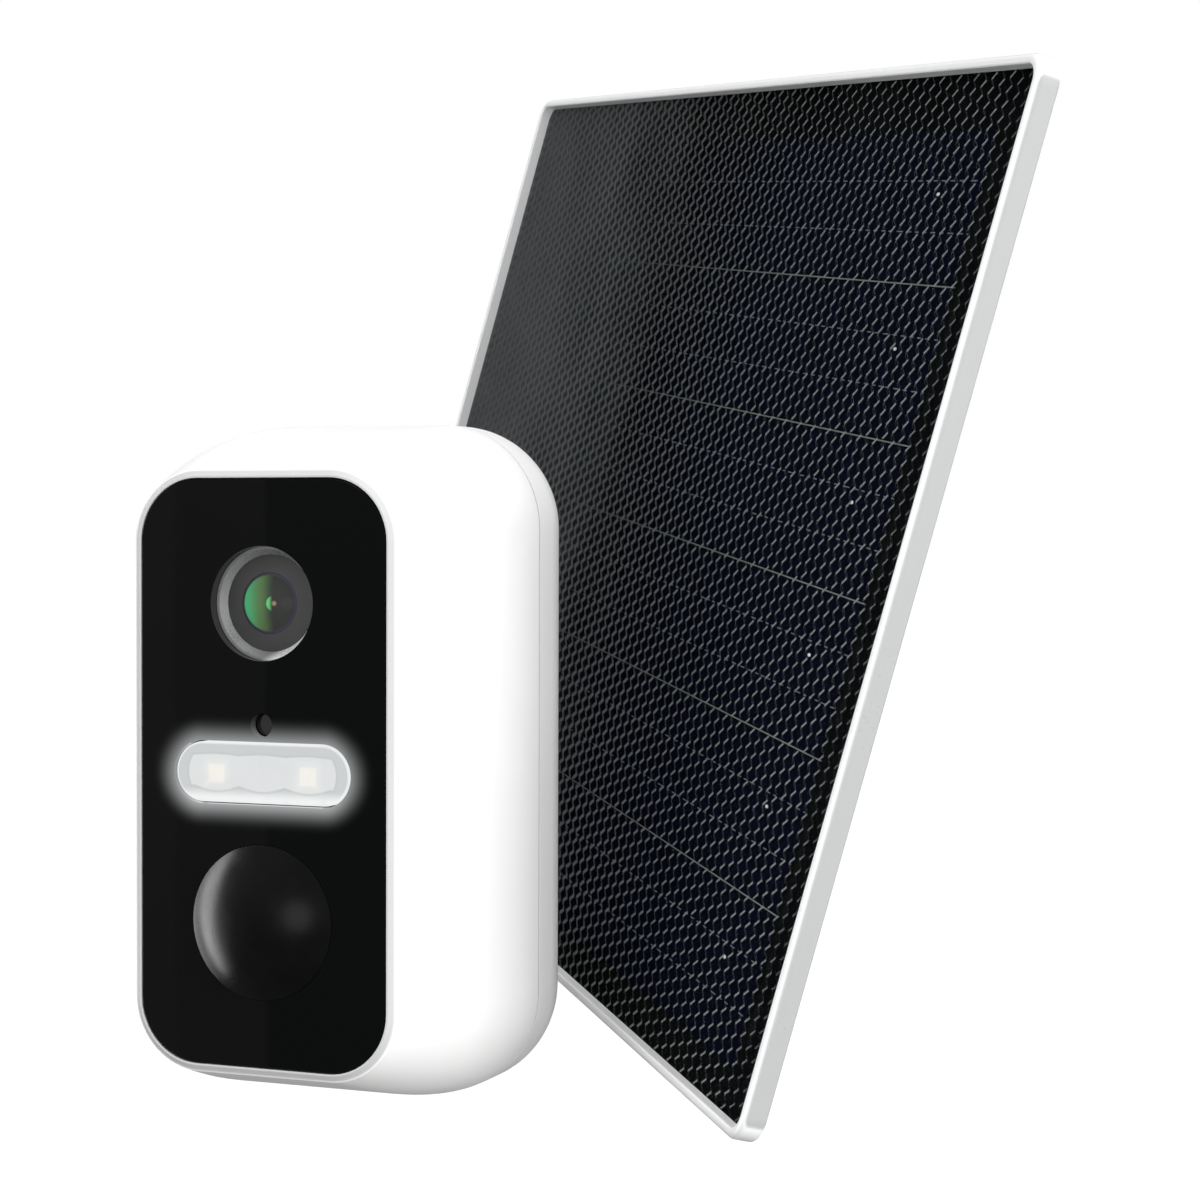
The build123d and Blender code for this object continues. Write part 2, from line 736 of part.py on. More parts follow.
# Rubber flap over the ports, rounded about its hinge pin.
with BuildPart() as port_flap:
    with BuildSketch(Plane.XY.offset(PORT_HEIGHT - PORT_SIZE[1] / 2 + 0.2)):
        with Locations(FLAP_PIVOT):
            Circle(FLAP_THICKNESS / 2)
        with BuildLine():
            Polyline(
                (FLAP_PIVOT[0], flap_floor),
                (PORT_SIZE[0] / 2 - 0.9, flap_floor),
                (PORT_SIZE[0] / 2 - 0.3, flap_floor + FLAP_THICKNESS),
                (FLAP_PIVOT[0], flap_floor + FLAP_THICKNESS),
                close=True,
            )
        make_face()
        with Locations(FLAP_PIVOT):
            Circle(0.6 + RUNNING, mode=Mode.SUBTRACT)
    extrude(amount=PORT_SIZE[1] - 0.4)
save(port_flap, "port_flap", camera_place)

with BuildPart() as flap_pin:
    with BuildSketch(Plane.XY.offset(PORT_HEIGHT - 7.3)):
        with Locations(FLAP_PIVOT):
            Circle(0.6)
    extrude(amount=14.6)
save(flap_pin, "flap_pin", camera_place)

# ---------------------------------------------------------------- solar panel

outer_size = (OPENING[0] + 2 * BORDER, OPENING[1] + 2 * BORDER)
sheet_size = (outer_size[0] - 2 * SHEET_INSET - 0.2, outer_size[1] - 2 * SHEET_INSET - 0.2)
sheet_radius = CORNER - SHEET_INSET - 0.1

# Slim white frame: a rounded rim that stands proud of the cover round a thin side wall.
with BuildPart() as panel_frame:
    with BuildSketch(at_depth(-CREST)):
        RectangleRounded(*outer_size, CORNER)
    extrude(amount=-(EDGE_DEPTH + CREST))
    fillet(panel_frame.faces().sort_by(Axis.Y)[0].edges(), 1.2)
    fillet(panel_frame.faces().sort_by(Axis.Y)[-1].edges(), 0.5)
    with BuildSketch(at_depth(-CREST)):
        RectangleRounded(*OPENING, CORNER - BORDER)
    extrude(amount=-(EDGE_DEPTH + CREST), mode=Mode.SUBTRACT)
    fillet(panel_frame.faces().sort_by(Axis.Y)[0].inner_wires().edges(), 0.4)
    with BuildSketch(at_depth(0)):
        RectangleRounded(sheet_size[0] + 0.2, sheet_size[1] + 0.2, sheet_radius + 0.1)
    extrude(amount=-EDGE_DEPTH, mode=Mode.SUBTRACT)
save(panel_frame, "panel_frame", panel_place)


def sheet(front, thickness):
    """Flat layer that fills the frame, from the depth of its face and its thickness."""
    with BuildPart() as layer:
        with BuildSketch(at_depth(front)):
            RectangleRounded(*sheet_size, sheet_radius)
        extrude(amount=-thickness)
    return layer


cell_front = COVER_THICKNESS + 0.05
backing_front = cell_front + CELL_THICKNESS + 0.05

cover_sheet = sheet(0, COVER_THICKNESS)
save(cover_sheet, "cover_sheet", panel_place)

backing_board = sheet(backing_front, EDGE_DEPTH - backing_front)
save(backing_board, "backing_board", panel_place)

# Twelve solar cells in two columns, with a narrow gap between the rows.
with BuildPart() as solar_cells:
    with BuildSketch(at_depth(cell_front)):
        with Locations(CELL_CENTRE):
            with GridLocations(COLUMN_PITCH, ROW_PITCH, CELL_COLUMNS, CELL_ROWS):
                Rectangle(COLUMN_PITCH - CELL_GAP, ROW_PITCH - CELL_GAP)
    extrude(amount=-CELL_THICKNESS)
save(solar_cells, "solar_cells", panel_place)

# Tinned ribbons that join neighbouring rows at both ends.
with BuildPart() as cell_ribbons:
    with BuildSketch(at_depth(cell_front)):
        with Locations(CELL_CENTRE):
            with GridLocations(2 * COLUMN_PITCH + 5, 2 * ROW_PITCH, 2, CELL_ROWS // 2):
                Rectangle(2, 1.6 * ROW_PITCH)
    extrude(amount=-CELL_THICKNESS)
save(cell_ribbons, "cell_ribbons", panel_place)

back_places = (112, 72)

# White back cover: its edges slope away so that the panel looks thin from the side.
with BuildPart() as panel_back:
    with BuildSketch(at_depth(EDGE_DEPTH)):
        RectangleRounded(outer_size[0] - 6, outer_size[1] - 6, CORNER - 1)
    with BuildSketch(at_depth(BACK_DEPTH)):
        RectangleRounded(outer_size[0] - 24, outer_size[1] - 24, 10)
    loft(ruled=True)
    with BuildSketch(at_depth(BACK_DEPTH)):
        with GridLocations(0, 64, 1, 2):
            SlotOverall(190, 3)
        with GridLocations(150, 0, 2, 1):
            SlotOverall(120, 3, rotation=90)
    extrude(amount=-1.2)
    with BuildSketch(at_depth(BACK_DEPTH)):
        with GridLocations(2 * back_places[0], 2 * back_places[1], 2, 2):
            Circle(1.0)
    extrude(amount=3, mode=Mode.SUBTRACT)
save(panel_back, "panel_back", panel_place)

with BuildPart() as panel_screws:
    with BuildSketch(at_depth(BACK_DEPTH)):
        with GridLocations(2 * back_places[0], 2 * back_places[1], 2, 2):
            Circle(2.2)
    extrude(amount=-1.2)
    with BuildSketch(at_depth(BACK_DEPTH)):
        with GridLocations(2 * back_places[0], 2 * back_places[1], 2, 2):
            Circle(1.0)
    extrude(amount=2.9)
    with BuildSketch(at_depth(BACK_DEPTH + 1.2)):
        with GridLocations(2 * back_places[0], 2 * back_places[1], 2, 2):
            RegularPolygon(1.1, 6)
    extrude(amount=0.7, mode=Mode.SUBTRACT)
save(panel_screws, "panel_screws", panel_place)

# Round puck in the middle of the back, which holds the threaded insert.
with BuildPart() as mount_puck:
    with BuildSketch(at_depth(BACK_DEPTH)):
        Circle(21)
    extrude(amount=-(PUCK_DEPTH - BACK_DEPTH), taper=18)
    fillet(mount_puck.faces().sort_by(Axis.Y)[-1].edges(), 1)
    with BuildSketch(at_depth(PUCK_DEPTH)):
        Circle(INSERT_RADIUS)
    extrude(amount=PUCK_DEPTH - BACK_DEPTH, mode=Mode.SUBTRACT)
save(mount_puck, "mount_puck", panel_place)

panel_insert = threaded_insert(PUCK_DEPTH - BACK_DEPTH)
save(panel_insert, "panel_insert", panel_place * Location((0, PUCK_DEPTH, 0)))

lid_front = BOX_DEPTH - 1.6
box_bottom = BOX_PLACE[1] - BOX_SIZE[1] / 2
socket_centre = (BOX_PLACE[0], BACK_DEPTH + 3.8)

# Junction box low on the back: a tray with a round mouth in its lower wall.
with BuildPart() as junction_box:
    with BuildSketch(at_depth(BACK_DEPTH)):
        with Locations(BOX_PLACE):
            RectangleRounded(*BOX_SIZE, 3)
    extrude(amount=-(lid_front - BACK_DEPTH))
    with BuildSketch(at_depth(lid_front)):
        with Locations(BOX_PLACE):
            RectangleRounded(BOX_SIZE[0] - 3.2, BOX_SIZE[1] - 3.2, 1.4)
    extrude(amount=lid_front - BACK_DEPTH - 1.2, mode=Mode.SUBTRACT)
    with BuildSketch(at_depth(BACK_DEPTH + 1.2)):
        with Locations(BOX_PLACE):
            with GridLocations(BOX_SIZE[0] - 9, 0, 2, 1):
                Circle(2.4)
    extrude(amount=-(lid_front - BACK_DEPTH - 1.2))
    with BuildSketch(at_depth(lid_front)):
        with Locations(BOX_PLACE):
            with GridLocations(BOX_SIZE[0] - 9, 0, 2, 1):
                Circle(0.9)
    extrude(amount=4.5, mode=Mode.SUBTRACT)
    with BuildSketch(Plane.XY.offset(box_bottom)):
        with Locations(socket_centre):
            Circle(2.6)
    extrude(amount=3, mode=Mode.SUBTRACT)
save(junction_box, "junction_box", panel_place)

with BuildPart() as box_lid:
    with BuildSketch(at_depth(lid_front)):
        with Locations(BOX_PLACE):
            RectangleRounded(*BOX_SIZE, 3)
    extrude(amount=-(BOX_DEPTH - lid_front))
    fillet(box_lid.faces().sort_by(Axis.Y)[-1].edges(), 0.8)
    with BuildSketch(at_depth(BOX_DEPTH)):
        with Locations(BOX_PLACE):
            with GridLocations(BOX_SIZE[0] - 9, 0, 2, 1):
                Circle(0.95)
    extrude(amount=2, mode=Mode.SUBTRACT)
save(box_lid, "box_lid", panel_place)

# Two hex screws that hold the lid down on its posts.
with BuildPart() as box_screws:
    with BuildSketch(at_depth(BOX_DEPTH)):
        with Locations(BOX_PLACE):
            with GridLocations(BOX_SIZE[0] - 9, 0, 2, 1):
                Circle(1.9)
    extrude(amount=-1)
    with BuildSketch(at_depth(BOX_DEPTH)):
        with Locations(BOX_PLACE):
            with GridLocations(BOX_SIZE[0] - 9, 0, 2, 1):
                Circle(0.9)
    extrude(amount=5)
    with BuildSketch(at_depth(BOX_DEPTH + 1)):
        with Locations(BOX_PLACE):
            with GridLocations(BOX_SIZE[0] - 9, 0, 2, 1):
                RegularPolygon(0.9, 6)
    extrude(amount=0.6, mode=Mode.SUBTRACT)
save(box_screws, "box_screws", panel_place)

# Charge regulator board inside the junction box.
with BuildPart() as charge_board:
    with BuildSketch(at_depth(BACK_DEPTH + 2)):
        with Locations(BOX_PLACE):
            Rectangle(28, 16)
    extrude(amount=-1)
    with BuildSketch(at_depth(BACK_DEPTH + 3)):
        with Locations((BOX_PLACE[0] - 6, BOX_PLACE[1] + 3)):
            Rectangle(9, 7)
    extrude(amount=-2)
save(charge_board, "charge_board", panel_place)

# Output socket in the lower wall of the junction box: a collar, a spigot and a blind bore.
with BuildPart() as panel_socket:
    with BuildSketch(Plane.XY.offset(box_bottom)):
        with Locations(socket_centre):
            Circle(3.4)
    extrude(amount=-6)
    with BuildSketch(Plane.XY.offset(box_bottom)):
        with Locations(socket_centre):
            Circle(2.5)
    extrude(amount=4)
    with BuildSketch(Plane.XY.offset(box_bottom - 6)):
        with Locations(socket_centre):
            Circle(1.8)
    extrude(amount=8, mode=Mode.SUBTRACT)
save(panel_socket, "panel_socket", panel_place)

# ---------------------------------------------------------------- bracket heads

ear_near = EYE_WIDTH / 2 + EAR_GAP
ear_far = ear_near + EAR_THICKNESS
stud_end = REACH + STUD_GRIP


def knob_outline():
    """Five-lobed hand grip, drawn in the current sketch."""
    Circle(7)
    with PolarLocations(6.4, 5):
        Circle(2.6)


def yoke():
    """Fork that turns on the arm tip: a round base and two ears round the tilt bolt."""
    with BuildPart() as piece:
        with BuildSketch(Plane.XY.offset(BASE_TOP)):
            Circle(BASE_RADIUS)
        extrude(amount=-BASE_THICKNESS)
        for start in (-ear_far, ear_near):
            with BuildSketch(Plane.YZ.offset(start)):
                Circle(EYE_RADIUS)
                with Locations((0, (BASE_TOP - 1) / 2)):
                    Rectangle(2 * EYE_RADIUS, 1 - BASE_TOP)
            extrude(amount=EAR_THICKNESS)
        with BuildSketch(Plane.YZ.offset(-ear_far)):
            Circle(BOLT_RADIUS + RUNNING)
        extrude(amount=2 * ear_far, mode=Mode.SUBTRACT)
        with BuildSketch(Plane.XY.offset(BASE_TOP)):
            Circle(BOLT_RADIUS + RUNNING)
        extrude(amount=-BASE_THICKNESS, mode=Mode.SUBTRACT)
    return piece


def pan_screw():
    """Upright shoulder screw that holds the yoke on the arm tip."""
    with BuildPart() as piece:
        with BuildSketch(Plane.XY.offset(BASE_TOP + 0.1)):
            Circle(3.8)
        extrude(amount=1.7)
        with BuildSketch(Plane.XY.offset(BASE_TOP + 1.8)):
            RegularPolygon(1.7, 6)
        extrude(amount=-1.1, mode=Mode.SUBTRACT)
        with BuildSketch(Plane.XY.offset(BASE_TOP + 0.1)):
            Circle(BOLT_RADIUS)
        extrude(amount=-12.5)
    return piece


def tilt_nut():
    """Hexagon nut outside the ear, on the far end of the tilt bolt."""
    with BuildPart() as piece:
        with BuildSketch(Plane.YZ.offset(ear_far)):
            RegularPolygon(4.6, 6)
            Circle(BOLT_RADIUS + RUNNING, mode=Mode.SUBTRACT)
        extrude(amount=3.5)
    return piece


def tilt_knob():
    """Tilt bolt with its lobed hand grip."""
    with BuildPart() as piece:
        with BuildSketch(Plane.YZ.offset(-ear_far - 0.3)):
            knob_outline()
        extrude(amount=-8)
        chamfer(piece.faces().sort_by(Axis.X)[0].edges(), 0.6)
        with BuildSketch(Plane.YZ.offset(-ear_far - 0.3)):
            Circle(BOLT_RADIUS)
        extrude(amount=2 * ear_far + 4.6)
    return piece


def lug():
    """Eye between the ears, a neck, a flange and the stud that screws into the insert."""
    with BuildPart() as piece:
        with BuildSketch(Plane.YZ.offset(-EYE_WIDTH / 2)):
            Circle(EYE_RADIUS)
        extrude(amount=EYE_WIDTH)
        with BuildSketch(at_depth(0)):
            RectangleRounded(EYE_WIDTH, 9, 1.5)
        extrude(amount=17)
        with BuildSketch(at_depth(-16)):
            Circle(FLANGE_RADIUS)
        extrude(amount=3)
        with BuildSketch(at_depth(-16)):
            Circle(STUD_RADIUS)
        extrude(amount=stud_end - 16)
        with BuildSketch(Plane.YZ.offset(-EYE_WIDTH / 2)):
            Circle(BOLT_RADIUS + RUNNING)
        extrude(amount=EYE_WIDTH, mode=Mode.SUBTRACT)
    return piece


def lock_ring():
    """Knurled ring on the stud that locks the device against turning."""
    with BuildPart() as piece:
        with BuildSketch(at_depth(-22)):
            Circle(9)
            with PolarLocations(9.3, 20):
                Circle(0.7, mode=Mode.SUBTRACT)
            Circle(STUD_RADIUS, mode=Mode.SUBTRACT)
        extrude(amount=REACH - 22.2)
    return piece


def save_head(prefix, head_place, lug_place):
    """Write the pieces of one bracket head."""
    save(yoke(), prefix + "_yoke", head_place)
    save(pan_screw(), prefix + "_pan_screw", head_place)
    save(tilt_nut(), prefix + "_tilt_nut", head_place)
    save(tilt_knob(), prefix + "_tilt_knob", head_place)
    save(lug(), prefix + "_lug", lug_place)
    save(lock_ring(), prefix + "_lock_ring", lug_place)


save_head("camera", camera_head, camera_head)
save_head("panel", panel_head, panel_lug_place)

# ---------------------------------------------------------------- wall plate and arms

arm_runs = ((CAMERA_SOCKET, CAMERA_PIVOT), (PANEL_SOCKET, PANEL_PIVOT))


def arm_line(socket, pivot):
    """Plane across an arm at the face of the wall plate, and how far it is to the pan axis."""
    start = Vector(socket[0], -PLATE_THICKNESS, socket[1])
    run = Vector(pivot[0], pivot[1], socket[1]) - start
    return Plane(origin=start, x_dir=(0, 0, 1), z_dir=run), run.length


def bracket_arm(socket, pivot):
    """Tube out of its wall socket with an upright post under the pan axis."""
    line, reach = arm_line(socket, pivot)
    with BuildPart() as piece:
        with BuildSketch(Plane.XY.offset(pivot[2] + TIP_TOP)):
            with Locations(pivot[:2]):
                Circle(TIP_RADIUS)
        extrude(amount=-TIP_HEIGHT)
        fillet(piece.faces().sort_by(Axis.Z)[0].edges(), 1.5)
        with BuildSketch(line.offset(1)):
            Circle(ARM_RADIUS)
        extrude(amount=reach - 1)
        with BuildSketch(line.offset(1)):
            Circle(ARM_RADIUS - ARM_WALL)
        extrude(amount=reach - 1 - TIP_RADIUS - 4, mode=Mode.SUBTRACT)
        with BuildSketch(Plane.XY.offset(pivot[2] + TIP_TOP)):
            with Locations(pivot[:2]):
                Circle(BOLT_RADIUS)
        extrude(amount=-8.5, mode=Mode.SUBTRACT)
    return piece


save(bracket_arm(CAMERA_SOCKET, CAMERA_PIVOT), "camera_arm")
save(bracket_arm(PANEL_SOCKET, PANEL_PIVOT), "panel_arm")

# Wall plate with a socket for each arm and four countersunk screw holes.
with BuildPart() as wall_plate:
    with BuildSketch(Plane.XZ):
        RectangleRounded(*PLATE_SIZE, 12)
    extrude(amount=PLATE_THICKNESS)
    fillet(wall_plate.faces().sort_by(Axis.Y)[0].edges(), 2.5)
    for socket, pivot in arm_runs:
        line, reach = arm_line(socket, pivot)
        with BuildSketch(line.offset(-6)):
            Circle(SOCKET_RADIUS)
        extrude(amount=SOCKET_LENGTH + 6)
    with BuildSketch(Plane.XZ):
        Rectangle(2 * PLATE_SIZE[0], 2 * PLATE_SIZE[1])
    extrude(amount=-20, mode=Mode.SUBTRACT)
    for socket, pivot in arm_runs:
        line, reach = arm_line(socket, pivot)
        with BuildSketch(line.offset(1)):
            Circle(ARM_RADIUS)
        extrude(amount=SOCKET_LENGTH, mode=Mode.SUBTRACT)
        bearing = line.from_local_coords((0, 0, SOCKET_LENGTH - 7))
        with BuildSketch(Plane.XY.offset(socket[1])):
            with Locations((bearing.X, bearing.Y)):
                Circle(1.5)
        extrude(amount=SOCKET_RADIUS + 1, mode=Mode.SUBTRACT)
    with BuildSketch(Plane.XZ):
        with GridLocations(*SCREW_SPACING, 2, 2):
            Circle(SCREW_HOLE)
    extrude(amount=PLATE_THICKNESS, mode=Mode.SUBTRACT)
    with BuildSketch(Plane.XZ.offset(PLATE_THICKNESS)):
        with GridLocations(*SCREW_SPACING, 2, 2):
            Circle(4.9)
    extrude(amount=-2.5, mode=Mode.SUBTRACT)
save(wall_plate, "wall_plate")

# One grub screw in each socket, bearing on its arm.
with BuildPart() as arm_set_screws:
    for socket, pivot in arm_runs:
        line, reach = arm_line(socket, pivot)
        bearing = line.from_local_coords((0, 0, SOCKET_LENGTH - 7))
        with BuildSketch(Plane.XY.offset(socket[1] + ARM_RADIUS)):
            with Locations((bearing.X, bearing.Y)):
                Circle(1.5)
                RegularPolygon(0.8, 6, mode=Mode.SUBTRACT)
        extrude(amount=SOCKET_RADIUS - ARM_RADIUS - 0.3)
save(arm_set_screws, "arm_set_screws")
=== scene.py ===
"""Looks of the wall-mounted battery camera and its solar panel, in metres, in the part's own frame."""

import bmesh
import bpy
import json
from math import asin, cos, pi, radians, sin
from mathutils import Matrix, Vector


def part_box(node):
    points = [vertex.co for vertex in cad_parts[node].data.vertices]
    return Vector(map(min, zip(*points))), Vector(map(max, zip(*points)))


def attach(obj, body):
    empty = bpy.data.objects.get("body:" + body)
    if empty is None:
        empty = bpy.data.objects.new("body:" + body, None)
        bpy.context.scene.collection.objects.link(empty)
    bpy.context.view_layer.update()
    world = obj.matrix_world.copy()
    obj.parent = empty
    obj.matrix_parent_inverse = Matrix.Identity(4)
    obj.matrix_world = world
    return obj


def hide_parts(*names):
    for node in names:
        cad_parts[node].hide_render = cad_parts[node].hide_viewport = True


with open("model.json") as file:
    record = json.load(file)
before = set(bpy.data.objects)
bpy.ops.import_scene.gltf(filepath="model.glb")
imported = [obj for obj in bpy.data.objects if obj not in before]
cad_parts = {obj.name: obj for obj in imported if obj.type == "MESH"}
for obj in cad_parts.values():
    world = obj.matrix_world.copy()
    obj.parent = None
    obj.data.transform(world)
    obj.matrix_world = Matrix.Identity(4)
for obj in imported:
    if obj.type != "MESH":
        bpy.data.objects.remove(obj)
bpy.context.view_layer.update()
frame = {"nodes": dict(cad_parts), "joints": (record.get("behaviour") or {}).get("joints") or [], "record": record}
nodes = frame["nodes"]

# ---------------------------------------------------------------- places of the two units, from the solids

glass_low, glass_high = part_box("front_glass")
GLASS_CENTRE = Vector(((glass_low.x + glass_high.x) / 2, glass_low.y, (glass_low.z + glass_high.z) / 2))

joints = {joint["name"]: joint for joint in frame["joints"]}
PANEL_BACK = Vector(joints["panel_roll"]["axis"]).normalized()
PANEL_ROLL = radians(7.1)
YOKE_X = Vector(joints["panel_tilt"]["axis"]).normalized()
PANEL_U = Matrix.Rotation(PANEL_ROLL, 3, PANEL_BACK) @ YOKE_X
PANEL_V = PANEL_U.cross(PANEL_BACK)
sheet_points = [vertex.co for vertex in nodes["cover_sheet"].data.vertices]
PANEL_CENTRE = sum(sheet_points, Vector()) / len(sheet_points)


# ---------------------------------------------------------------- shader building blocks

MM_PER_METRE = 1000.0


class Shade:
    """A material's node tree with short calls for the nodes that the finishes are made of."""

    def __init__(self, name):
        self.mat = bpy.data.materials.new(name)
        self.mat.use_nodes = True
        self.tree = self.mat.node_tree
        self.tree.nodes.clear()
        self.out = self.tree.nodes.new("ShaderNodeOutputMaterial")
        self.bsdf = self.tree.nodes.new("ShaderNodeBsdfPrincipled")
        self.link(self.bsdf.outputs[0], self.out.inputs[0])
        self.place = self.tree.nodes.new("ShaderNodeTexCoord").outputs["Object"]

    def link(self, source, target):
        self.tree.links.new(source, target)

    def put(self, target, value):
        """Link a socket, or set a constant."""
        if isinstance(value, bpy.types.NodeSocket):
            self.link(value, target)
        else:
            target.default_value = value

    def math(self, kind, a, b=0.0):
        """Math node of one kind on one or two values."""
        node = self.tree.nodes.new("ShaderNodeMath")
        node.operation = kind
        for socket, value in zip(node.inputs, (a, b)):
            self.put(socket, value)
        return node.outputs[0]

    def length(self, a, b):
        """Length of a vector with two parts."""
        return self.math("SQRT", self.math("ADD", self.math("MULTIPLY", a, a), self.math("MULTIPLY", b, b)))

    def past(self, value, limit):
        """How far the size of a value goes past a limit, or 0."""
        return self.math("MAXIMUM", self.math("SUBTRACT", self.math("ABSOLUTE", value), limit), 0.0)

    def smooth(self, value, low, high, start=0.0, end=1.0):
        """Smooth step from start at low to end at high."""
        node = self.tree.nodes.new("ShaderNodeMapRange")
        node.interpolation_type = "SMOOTHSTEP"
        for socket, given in zip(node.inputs, (value, low, high, start, end)):
            self.put(socket, given)
        return node.outputs[0]

    def along(self, direction, origin):
        """Distance in millimetres from a point along a direction."""
        shift = self.tree.nodes.new("ShaderNodeVectorMath")
        shift.operation = "SUBTRACT"
        self.link(self.place, shift.inputs[0])
        shift.inputs[1].default_value = origin
        dot = self.tree.nodes.new("ShaderNodeVectorMath")
        dot.operation = "DOT_PRODUCT"
        self.link(shift.outputs[0], dot.inputs[0])
        dot.inputs[1].default_value = direction
        return self.math("MULTIPLY", dot.outputs["Value"], MM_PER_METRE)

    def noise(self, size, detail=2.0, rough=0.5, stretch=None):
        """Noise from 0 to 1 with features of about the given size in metres."""
        node = self.tree.nodes.new("ShaderNodeTexNoise")
        place = self.place
        if stretch is not None:
            mapping = self.tree.nodes.new("ShaderNodeMapping")
            mapping.inputs["Scale"].default_value = stretch
            self.link(place, mapping.inputs[0])
            place = mapping.outputs[0]
        self.link(place, node.inputs["Vector"])
        node.inputs["Scale"].default_value = 1.0 / size
        node.inputs["Detail"].default_value = detail
        node.inputs["Roughness"].default_value = rough
        return node.outputs["Fac"]

    def mix(self, factor, a, b):
        """Colour mix of a and b."""
        node = self.tree.nodes.new("ShaderNodeMix")
        node.data_type = "RGBA"
        self.put(node.inputs[0], factor)
        for socket, value in ((node.inputs[6], a), (node.inputs[7], b)):
            if not isinstance(value, bpy.types.NodeSocket):
                value = (*value, 1.0)
            self.put(socket, value)
        return node.outputs[2]

    def bump(self, height, depth, strength=1.0):
        """Normal of a surface whose relief is that deep in metres."""
        node = self.tree.nodes.new("ShaderNodeBump")
        node.inputs["Strength"].default_value = strength
        node.inputs["Distance"].default_value = depth
        self.link(height, node.inputs["Height"])
        return node.outputs[0]

    def set(self, **values):
        """Link or set inputs of the main shader, with underscores for the spaces in their names."""
        for key, value in values.items():
            self.put(self.bsdf.inputs[key.replace("_", " ")], value)


def tone(colour, factor):
    """Colour made darker or lighter by a factor."""
    return tuple(min(1.0, channel * factor) for channel in colour)


def finish(name, colour, rough, grain=0.0004, relief=0.00002, vary=0.05, patch=0.02, metal=0.0,
           coat=0.0, stretch=None, specular=0.5):
    """Common finish: slow colour drift, fine mottling, uneven gloss and a moulded or worked grain."""
    s = Shade(name)
    drift = s.noise(patch, 3.0)
    mottle = s.noise(patch / 6, 4.0, 0.6)
    slow = s.mix(s.smooth(drift, 0.3, 0.7), tone(colour, 1 - vary), tone(colour, 1 + vary / 2))
    base = s.mix(s.smooth(mottle, 0.55, 0.8, 0.0, 0.35), slow, tone(colour, 1 - 1.5 * vary))
    fine = s.noise(grain, 2.0, 0.6, stretch)
    gloss = s.math("ADD", s.smooth(drift, 0.25, 0.75, rough - 0.05, rough + 0.06),
                   s.smooth(fine, 0.3, 0.7, -0.03, 0.04))
    s.set(Base_Color=base, Roughness=gloss, Metallic=metal, Coat_Weight=coat)
    s.set(Specular_IOR_Level=specular)
    s.set(Normal=s.bump(fine, relief))
    return s


# ---------------------------------------------------------------- finishes

finishes = {}


def keep(slot, shade):
    """Use a material for every piece of one slot."""
    finishes[slot] = shade.mat


def keep_plain(slot, *values, **options):
    """Common finish for every piece of one slot."""
    keep(slot, finish(slot, *values, **options))


def paint_over(s, mask, colour):
    """Lay a second colour over a finish where the mask is 1."""
    plain = s.bsdf.inputs["Base Color"].links[0].from_socket
    s.set(Base_Color=s.mix(mask, plain, colour))


SHELL_WHITE = (0.93, 0.93, 0.925)
PAINTED_RIM_SHADE = (0.56, 0.56, 0.56)
BRACKET_WHITE = (0.86, 0.86, 0.85)


def shell_white():
    """Satin white shell: fine moulded grain, and painted shade on the rim round the glass, greyer and matt like
    the shaded front bevel.
    """
    s = finish("shell_white", SHELL_WHITE, 0.42, grain=0.00035, relief=0.000004, vary=0.012, patch=0.03)
    depth = s.along((0, 1, 0), GLASS_CENTRE)
    # Painted shade: the front rim round the glass is painted grey for the shade on its bevel.
    paint_over(s, s.smooth(depth, 0.9, 0.5), PAINTED_RIM_SHADE)
    return s


keep("shell_white", shell_white())
keep_plain("bracket_white", BRACKET_WHITE, 0.5, grain=0.0005, relief=0.00003, vary=0.03)
keep_plain("arm_white", BRACKET_WHITE, 0.38, grain=0.0009, relief=0.00003, vary=0.03)
keep_plain("frame_black", (0.022, 0.022, 0.024), 0.55, vary=0.15)
keep_plain("holder_black", (0.03, 0.03, 0.03), 0.6, vary=0.15)
keep_plain("speaker_black", (0.03, 0.03, 0.03), 0.7, vary=0.2)
keep_plain("seal_rubber", (0.025, 0.025, 0.026), 0.75, grain=0.0003, vary=0.2)
keep_plain("socket_black", (0.03, 0.03, 0.031), 0.62, grain=0.0004, vary=0.2)
keep_plain("button_grey", (0.42, 0.43, 0.44), 0.6, grain=0.0003, relief=0.00003, vary=0.06, patch=0.004)
keep_plain("flap_rubber", (0.80, 0.80, 0.79), 0.62, grain=0.0004, relief=0.00003, vary=0.03, patch=0.01)
keep_plain("knob_grey", (0.16, 0.165, 0.17), 0.5, grain=0.0004, relief=0.00005, vary=0.12, patch=0.008)
keep_plain("barrel_grey", (0.038, 0.038, 0.038), 0.5, grain=0.0003, relief=0.000006, vary=0.08, patch=0.005)
keep_plain("board_green", (0.02, 0.11, 0.05), 0.35, grain=0.0008, vary=0.2, patch=0.004)
keep_plain("cell_wrap", (0.05, 0.16, 0.42), 0.3, vary=0.1, patch=0.01, coat=0.4)
keep_plain("sensor_silicon", (0.05, 0.04, 0.07), 0.12, vary=0.2, patch=0.002)
keep_plain("sensor_window", (0.008, 0.008, 0.009), 0.12, grain=0.0006, relief=0.000002, vary=0.2, patch=0.002,
           coat=0.5)
keep_plain("steel", (0.55, 0.55, 0.56), 0.32, grain=0.00025, relief=0.00001, vary=0.1, patch=0.003, metal=1.0,
           stretch=(1.0, 6.0, 1.0))
keep_plain("metal_can", (0.58, 0.58, 0.59), 0.28, vary=0.08, patch=0.003, metal=1.0, stretch=(5.0, 1.0, 1.0))
keep_plain("brass", (0.72, 0.52, 0.24), 0.3, grain=0.0003, relief=0.00001, vary=0.12, patch=0.004, metal=1.0)
keep_plain("reflector_silver", (0.82, 0.82, 0.83), 0.22, vary=0.03, patch=0.006, metal=0.85)


# The lit slot in the glass: half the length of its straight part, and its half height.
SLOT_STRAIGHT = 11.3
SLOT_HALF_HEIGHT = 5.3


